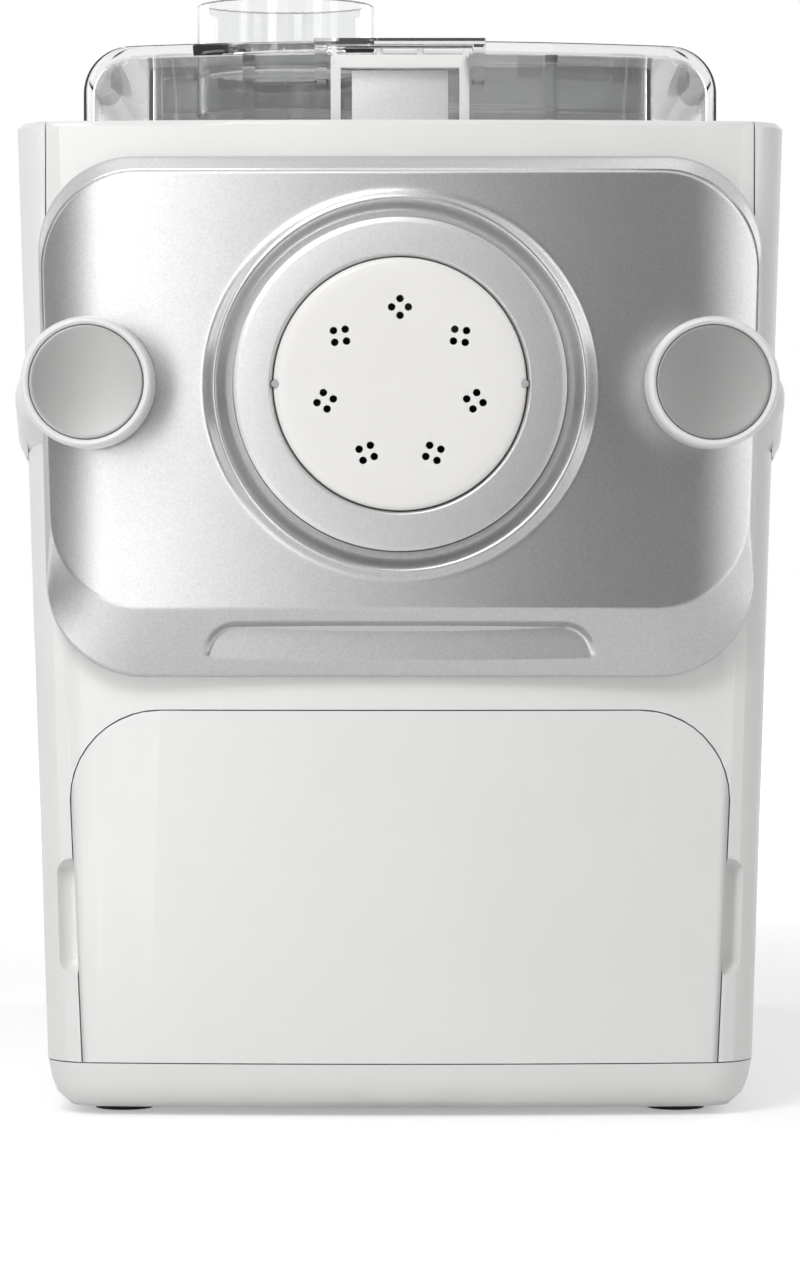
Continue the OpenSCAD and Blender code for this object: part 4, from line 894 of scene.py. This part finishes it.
def seen_or_mirrored(tree):
    """1 for rays from the camera, through clear things and off shiny ones; and 1 for the last kind only."""
    path = add_node(tree, "LightPath").outputs
    seen = math_node(tree, "MAXIMUM", path["Is Camera Ray"], path["Is Transmission Ray"])
    return math_node(tree, "MAXIMUM", seen, path["Is Glossy Ray"]), path["Is Glossy Ray"]


def build_floor(props):
    """Round pale floor at z = 0, rings of growing radius r_i; near the object it adds less light."""
    r = np.concatenate([[0.0], np.geomspace(0.05, 6.0, 24)])[:, None]
    a = np.linspace(0, 2 * math.pi, 96, endpoint=False)
    P = np.stack([r * np.cos(a), r * np.sin(a), np.full((25, 96), -0.00005)], -1) * 1000
    floor = rows_piece("Floor", P)
    material, tree, shader = principled("PaleFloor")
    set_inputs(shader, {"Base Color": (*props.floor, 1.0), "Roughness": 0.9})
    glow = add_node(tree, "Emission", {"Color": WHITE})
    seen, glossy = seen_or_mirrored(tree)
    span = add_node(tree, "VectorMath")
    span.operation = "LENGTH"
    link(tree, (object_coords(tree), span.inputs[0]))
    lift = add_node(tree, "MapRange", {
        "From Min": 0.25, "From Max": 1.6, "To Min": props.floor_lift, "To Max": 1.0})
    lift.interpolation_type = "SMOOTHSTEP"
    link(tree, (span.outputs["Value"], lift.inputs["Value"]))
    part = math_node(tree, "SUBTRACT", seen, math_node(tree, "MULTIPLY", glossy, 0.4))
    both = add_node(tree, "AddShader")
    link(tree, (math_node(tree, "MULTIPLY", part, lift.outputs["Result"]), glow.inputs["Strength"]),
         (shader.outputs[0], both.inputs[0]), (glow.outputs[0], both.inputs[1]),
         (both.outputs[0], tree.nodes["Material Output"].inputs["Surface"]))
    floor.data.materials.append(material)


def build_card(name, turn_from, turn_to, run, tone):
    """Grey card that only reflections see.

    Point (i, j) = (r_j sin t_i, -r_j cos t_i, z_j), with t between two turns in degrees and (r, z)
    the run of the card.
    """
    t = np.radians(np.linspace(turn_from, turn_to, 14))[:, None]
    r, z = np.array(run).T
    P = np.stack([r * np.sin(t), -r * np.cos(t), z + 0 * t], -1) * 1000
    card = grid_piece(name, P)
    material, tree, shader = principled(name)
    set_inputs(shader, {"Base Color": (tone, tone, tone, 1.0), "Roughness": 0.9})
    card.data.materials.append(material)
    card.visible_camera = card.visible_diffuse = card.visible_transmission = card.visible_shadow = False


def build_stage():
    """The studio: pale room, floor, cards, lamps and camera."""
    scene = bpy.context.scene
    props = scene.pasta_stage
    scene.view_settings.view_transform = "Standard"
    world = bpy.data.worlds.new("PaleRoom")
    world.use_nodes = True
    scene.world = world
    tree = world.node_tree
    tree.nodes.clear()
    out = add_node(tree, "OutputWorld")
    light = add_node(tree, "Background", {"Color": WHITE, "Strength": props.room})
    backdrop = add_node(tree, "Background", {"Color": WHITE, "Strength": 1.0})
    seen, _ = seen_or_mirrored(tree)
    mix = add_node(tree, "MixShader")
    link(tree, (seen, mix.inputs[0]), (light.outputs[0], mix.inputs[1]),
         (backdrop.outputs[0], mix.inputs[2]), (mix.outputs[0], out.inputs[0]))
    build_floor(props)

    # the cards run along the floor before the object and rise behind the camera, as (r, z)
    run = [(0.62, 0.002), (1.2, 0.002), (1.75, 0.002), (1.95, 0.06), (2.03, 0.25), (2.05, 1.0),
           (1.9, 2.2), (1.5, 3.0)]
    for name, turn_from, turn_to in (("FlagRight", 3.0, 24.5), ("FlagLeft", -50.0, -24.0)):
        build_card(name, turn_from, turn_to, run, props.flag_tone)

    # name, place, target, width, height, power; those behind aren't mirrored in deck and lid
    lamps = (
        ("KeyLeft", (-0.232, -0.72, 0.36), (-0.02, -0.17, 0.25), 0.13, 0.7, props.key_power),
        ("WideLeft", (-0.36, -0.92, 0.88), (-0.05, -0.16, 0.12), 0.5, 0.45, props.high_power),
        ("LowLeft", (-0.24, -0.50, 0.03), (-0.03, -0.17, 0.06), 0.16, 0.05, props.low_power),
        ("StripRight", (0.74, -0.88, 0.35), (0, -0.1, 0.2), 0.22, 1.1, props.fill_power),
        ("SideRight", (0.60, -0.34, 0.25), (0.05, -0.14, 0.18), 0.14, 0.6, props.side_power * 1.4),
        ("SideLeft", (-0.50, -0.38, 0.25), (-0.05, -0.16, 0.15), 0.12, 0.6, props.side_power),
        ("Top", (-0.1, -0.2, 1.3), (0, 0, 0.2), 1.0, 1.0, props.top_power),
        ("BackLeft", (-0.95, 0.95, 0.70), (0, 0.1, 0.15), 0.8, 0.8, props.back_power),
        ("BackRight", (0.95, 0.95, 0.70), (0, 0.1, 0.15), 0.8, 0.8, props.back_power))
    for name, place, target, width, height, power in lamps:
        data = bpy.data.lights.new(name, "AREA")
        data.energy = power
        data.shape = "RECTANGLE"
        data.size, data.size_y = width, height
        lamp = bpy.data.objects.new(name, data)
        scene.collection.objects.link(lamp)
        lamp.location = place
        lamp.rotation_euler = (Vector(target) - Vector(place)).to_track_quat("-Z", "Y").to_euler()
        lamp.visible_glossy = not name.startswith("Back")

    lens = bpy.data.cameras.new("Camera")
    lens.lens = props.focal_length
    lens.sensor_width = 36.0
    lens.shift_y = -96.0 / 1272.0
    lens.clip_end = 20.0
    camera = bpy.data.objects.new("Camera", lens)
    scene.collection.objects.link(camera)
    camera.location = (0.0, -0.150 - props.camera_distance, props.eye_height)
    camera.rotation_euler = (math.pi / 2, 0.0, 0.0)
    scene.camera = camera


# ------------ operators


class PastaOperator:
    """Base of the operators."""
    bl_options = {"REGISTER", "UNDO"}

    def execute(self, context):
        self.build(context)
        return {"FINISHED"}


class PASTA_OT_stage(PastaOperator, bpy.types.Operator):
    """Floor, pale room, soft lights and camera"""
    bl_idname = "pasta.stage"
    bl_label = "Studio"

    def build(self, context):
        build_stage()


class PASTA_OT_panel(PastaOperator, bpy.types.Operator):
    """Silver front panel with its bevel, lower slope, round lip and grip recess"""
    bl_idname = "pasta.front_panel"
    bl_label = "Front panel"

    def build(self, context):
        build_front_panel()


class PASTA_OT_ring(PastaOperator, bpy.types.Operator):
    """Ring round the shaping disc, turned from one profile"""
    bl_idname = "pasta.disc_ring"
    bl_label = "Disc ring"

    def build(self, context):
        outer = float(RING_HI[0])
        front, back = float(RING_LO[1]), float(RING_HI[1])
        inner = float(DISC_HI[0]) - 2.0
        profile = rounded_profile([
            (outer, back, 0.2), (outer, front + 0.92, 0.2), (outer - 1.5, front + 0.6, 0.2),
            (inner + 0.7, front, 0.4), (inner, front + 0.6, 0.3), (inner, back - 8, 0.2),
            (inner + 2.3, back - 8, 0.2), (inner + 2.3, back, 0.2)])
        piece = turned_piece("ring_round_disc", profile, 0.0, AXIS_Z, 192)
        finish_piece(piece, "front_panel", "ring_light", ["disc_ring"])


class PASTA_OT_disc(PastaOperator, bpy.types.Operator):
    """Shaping disc with its hole groups, and a small grey peg at three and nine o'clock"""
    bl_idname = "pasta.shaping_disc"
    bl_label = "Shaping disc"

    def build(self, context):
        smoothed_copy("shaping_disc", "food_white")
        # domed peg of radius 1.1: y = front + 0.1 - 0.16 cos t, at the radius 1.1 sin t
        front = float(DISC_LO[1])
        dome = [(1.1 * math.sin(t), front + 0.1 - 0.16 * math.cos(t)) for t in np.linspace(0, math.pi / 2, 8)]
        profile = dome + [(1.1, front + 1.2), (0, front + 1.2)]
        for side, s in (("left", -1), ("right", 1)):
            peg = turned_piece("disc_peg_" + side, profile, s * 35.8, AXIS_Z, 32)
            finish_piece(peg, "front_panel", "rubber_light")


class PASTA_OT_knobs(PastaOperator, bpy.types.Operator):
    """Two clamping knobs with dished caps"""
    bl_idname = "pasta.knobs"
    bl_label = "Knobs"

    def build(self, context):
        rim = context.scene.pasta_knobs.rim_width * 1000
        r = float((KNOB_HI[0] - KNOB_LO[0]) / 2)
        front, back = float(KNOB_LO[1]), float(KNOB_HI[1])
        x = float((KNOB_HI[0] + KNOB_LO[0]) / 2)
        bore, neck = 4.1, 16.8
        body = rounded_profile([
            (bore, back, 0), (neck, back, 0.4), (neck, back - 3.4, 0.6), (r - 0.9, back - 6.4, 1.2),
            (r, back - 8.6, 1.5), (r, front + 1.9, 1.9), (r - rim * 0.5, front - 0.05, 1.3),
            (r - rim + 0.05, front + 1.2, 0.5), (r - rim, front + 3.6, 0.2), (bore, front + 3.6, 0)], 8)
        # dished cap of radius c: y = f + dish (1 - (radius / c)^2), with a small round edge
        c, f, dish = r - rim - 0.14, front + 1.0, 1.5
        bowl = [(c * t, f + dish * (1 - t * t)) for t in np.linspace(0.975, 0, 24)]
        cap = [(0, f + 2.5), (c, f + 2.5), (c, f + 0.35), (c - 0.1, f + 0.14)] + bowl
        for side, s in (("left", -1), ("right", 1)):
            name = "knob_" + side
            piece = turned_piece(name + "_body", body, s * x, AXIS_Z)
            finish_piece(piece, name, "white_gloss", [name])
            piece = turned_piece(name + "_cap", cap, s * x, AXIS_Z)
            finish_piece(piece, name, "knob_grey", ["knob_cap_" + side])


class PASTA_OT_housing(PastaOperator, bpy.types.Operator):
    """Housing, plates, drawer, latch, controls, chamber and extruder: smoothed copies of their nodes"""
    bl_idname = "pasta.housing"
    bl_label = "Housing"

    def build(self, context):
        for node in (
                "housing_shell", "front_bezel", "top_deck", "rear_panel", "base_tray", "knob_bracket_left",
                "knob_bracket_right", "drawer_front", "drawer_tray", "control_panel", "lid_latch",
                "latch_plate", "latch_pin", "lid_hinge_pins", "display_window", "cord_gland", "rubber_feet",
                "case_screws", "start_button", "mode_button", "plus_button", "minus_button", "clean_button",
                "spare_discs", "mixing_chamber", "tube_sleeve", "extruding_tube", "extruding_screw",
                "mixing_paddle"):
            smoothed_copy(node, SLOT_OF[node])


class PASTA_OT_lid(PastaOperator, bpy.types.Operator):
    """Clear lid with its seal"""
    bl_idname = "pasta.lid"
    bl_label = "Lid"

    def build(self, context):
        build_lid()
        smoothed_copy("lid_spout", "clear")
        smoothed_copy("lid_seal", "rubber_light")


class PASTA_OT_inner(PastaOperator, bpy.types.Operator):
    """Materials for every remaining node of the frame"""
    bl_idname = "pasta.inner_parts"
    bl_label = "Inner parts"

    def build(self, context):
        for node, piece in frame["nodes"].items():
            piece.data.materials.clear()
            piece.data.materials.append(MATERIALS[SLOT_OF[node]])


class PASTA_PT_sidebar(bpy.types.Panel):
    bl_label = "Pasta Maker"
    bl_idname = "PASTA_PT_sidebar"
    bl_space_type = "VIEW_3D"
    bl_region_type = "UI"
    bl_category = "Pasta Maker"

    def draw(self, context):
        layout = self.layout
        for operator in OPERATORS:
            layout.operator(operator.bl_idname)
        for holder in GROUPS:
            group = getattr(context.scene, holder)
            box = layout.box()
            for prop in type(group).__annotations__:
                box.prop(group, prop)


GROUPS = {
    "pasta_stage": PastaStage, "pasta_housing": PastaHousing, "pasta_panel": PastaPanel,
    "pasta_extruder": PastaExtruder, "pasta_knobs": PastaKnobs, "pasta_lid": PastaLid,
}
OPERATORS = [PASTA_OT_stage, PASTA_OT_inner, PASTA_OT_housing, PASTA_OT_panel, PASTA_OT_ring, PASTA_OT_disc,
             PASTA_OT_knobs, PASTA_OT_lid]


def register():
    for cls in list(GROUPS.values()) + OPERATORS + [PASTA_PT_sidebar]:
        bpy.utils.register_class(cls)
    for name, cls in GROUPS.items():
        setattr(bpy.types.Scene, name, PointerProperty(type=cls))


def unregister():
    for name in GROUPS:
        delattr(bpy.types.Scene, name)
    for cls in reversed(list(GROUPS.values()) + OPERATORS + [PASTA_PT_sidebar]):
        bpy.utils.unregister_class(cls)


def main():
    register()
    build_materials()
    bpy.ops.pasta.stage()
    bpy.ops.pasta.inner_parts()
    bpy.ops.pasta.housing()
    bpy.ops.pasta.front_panel()
    bpy.ops.pasta.disc_ring()
    bpy.ops.pasta.shaping_disc()
    bpy.ops.pasta.knobs()
    bpy.ops.pasta.lid()


if __name__ == "__main__":
    main()
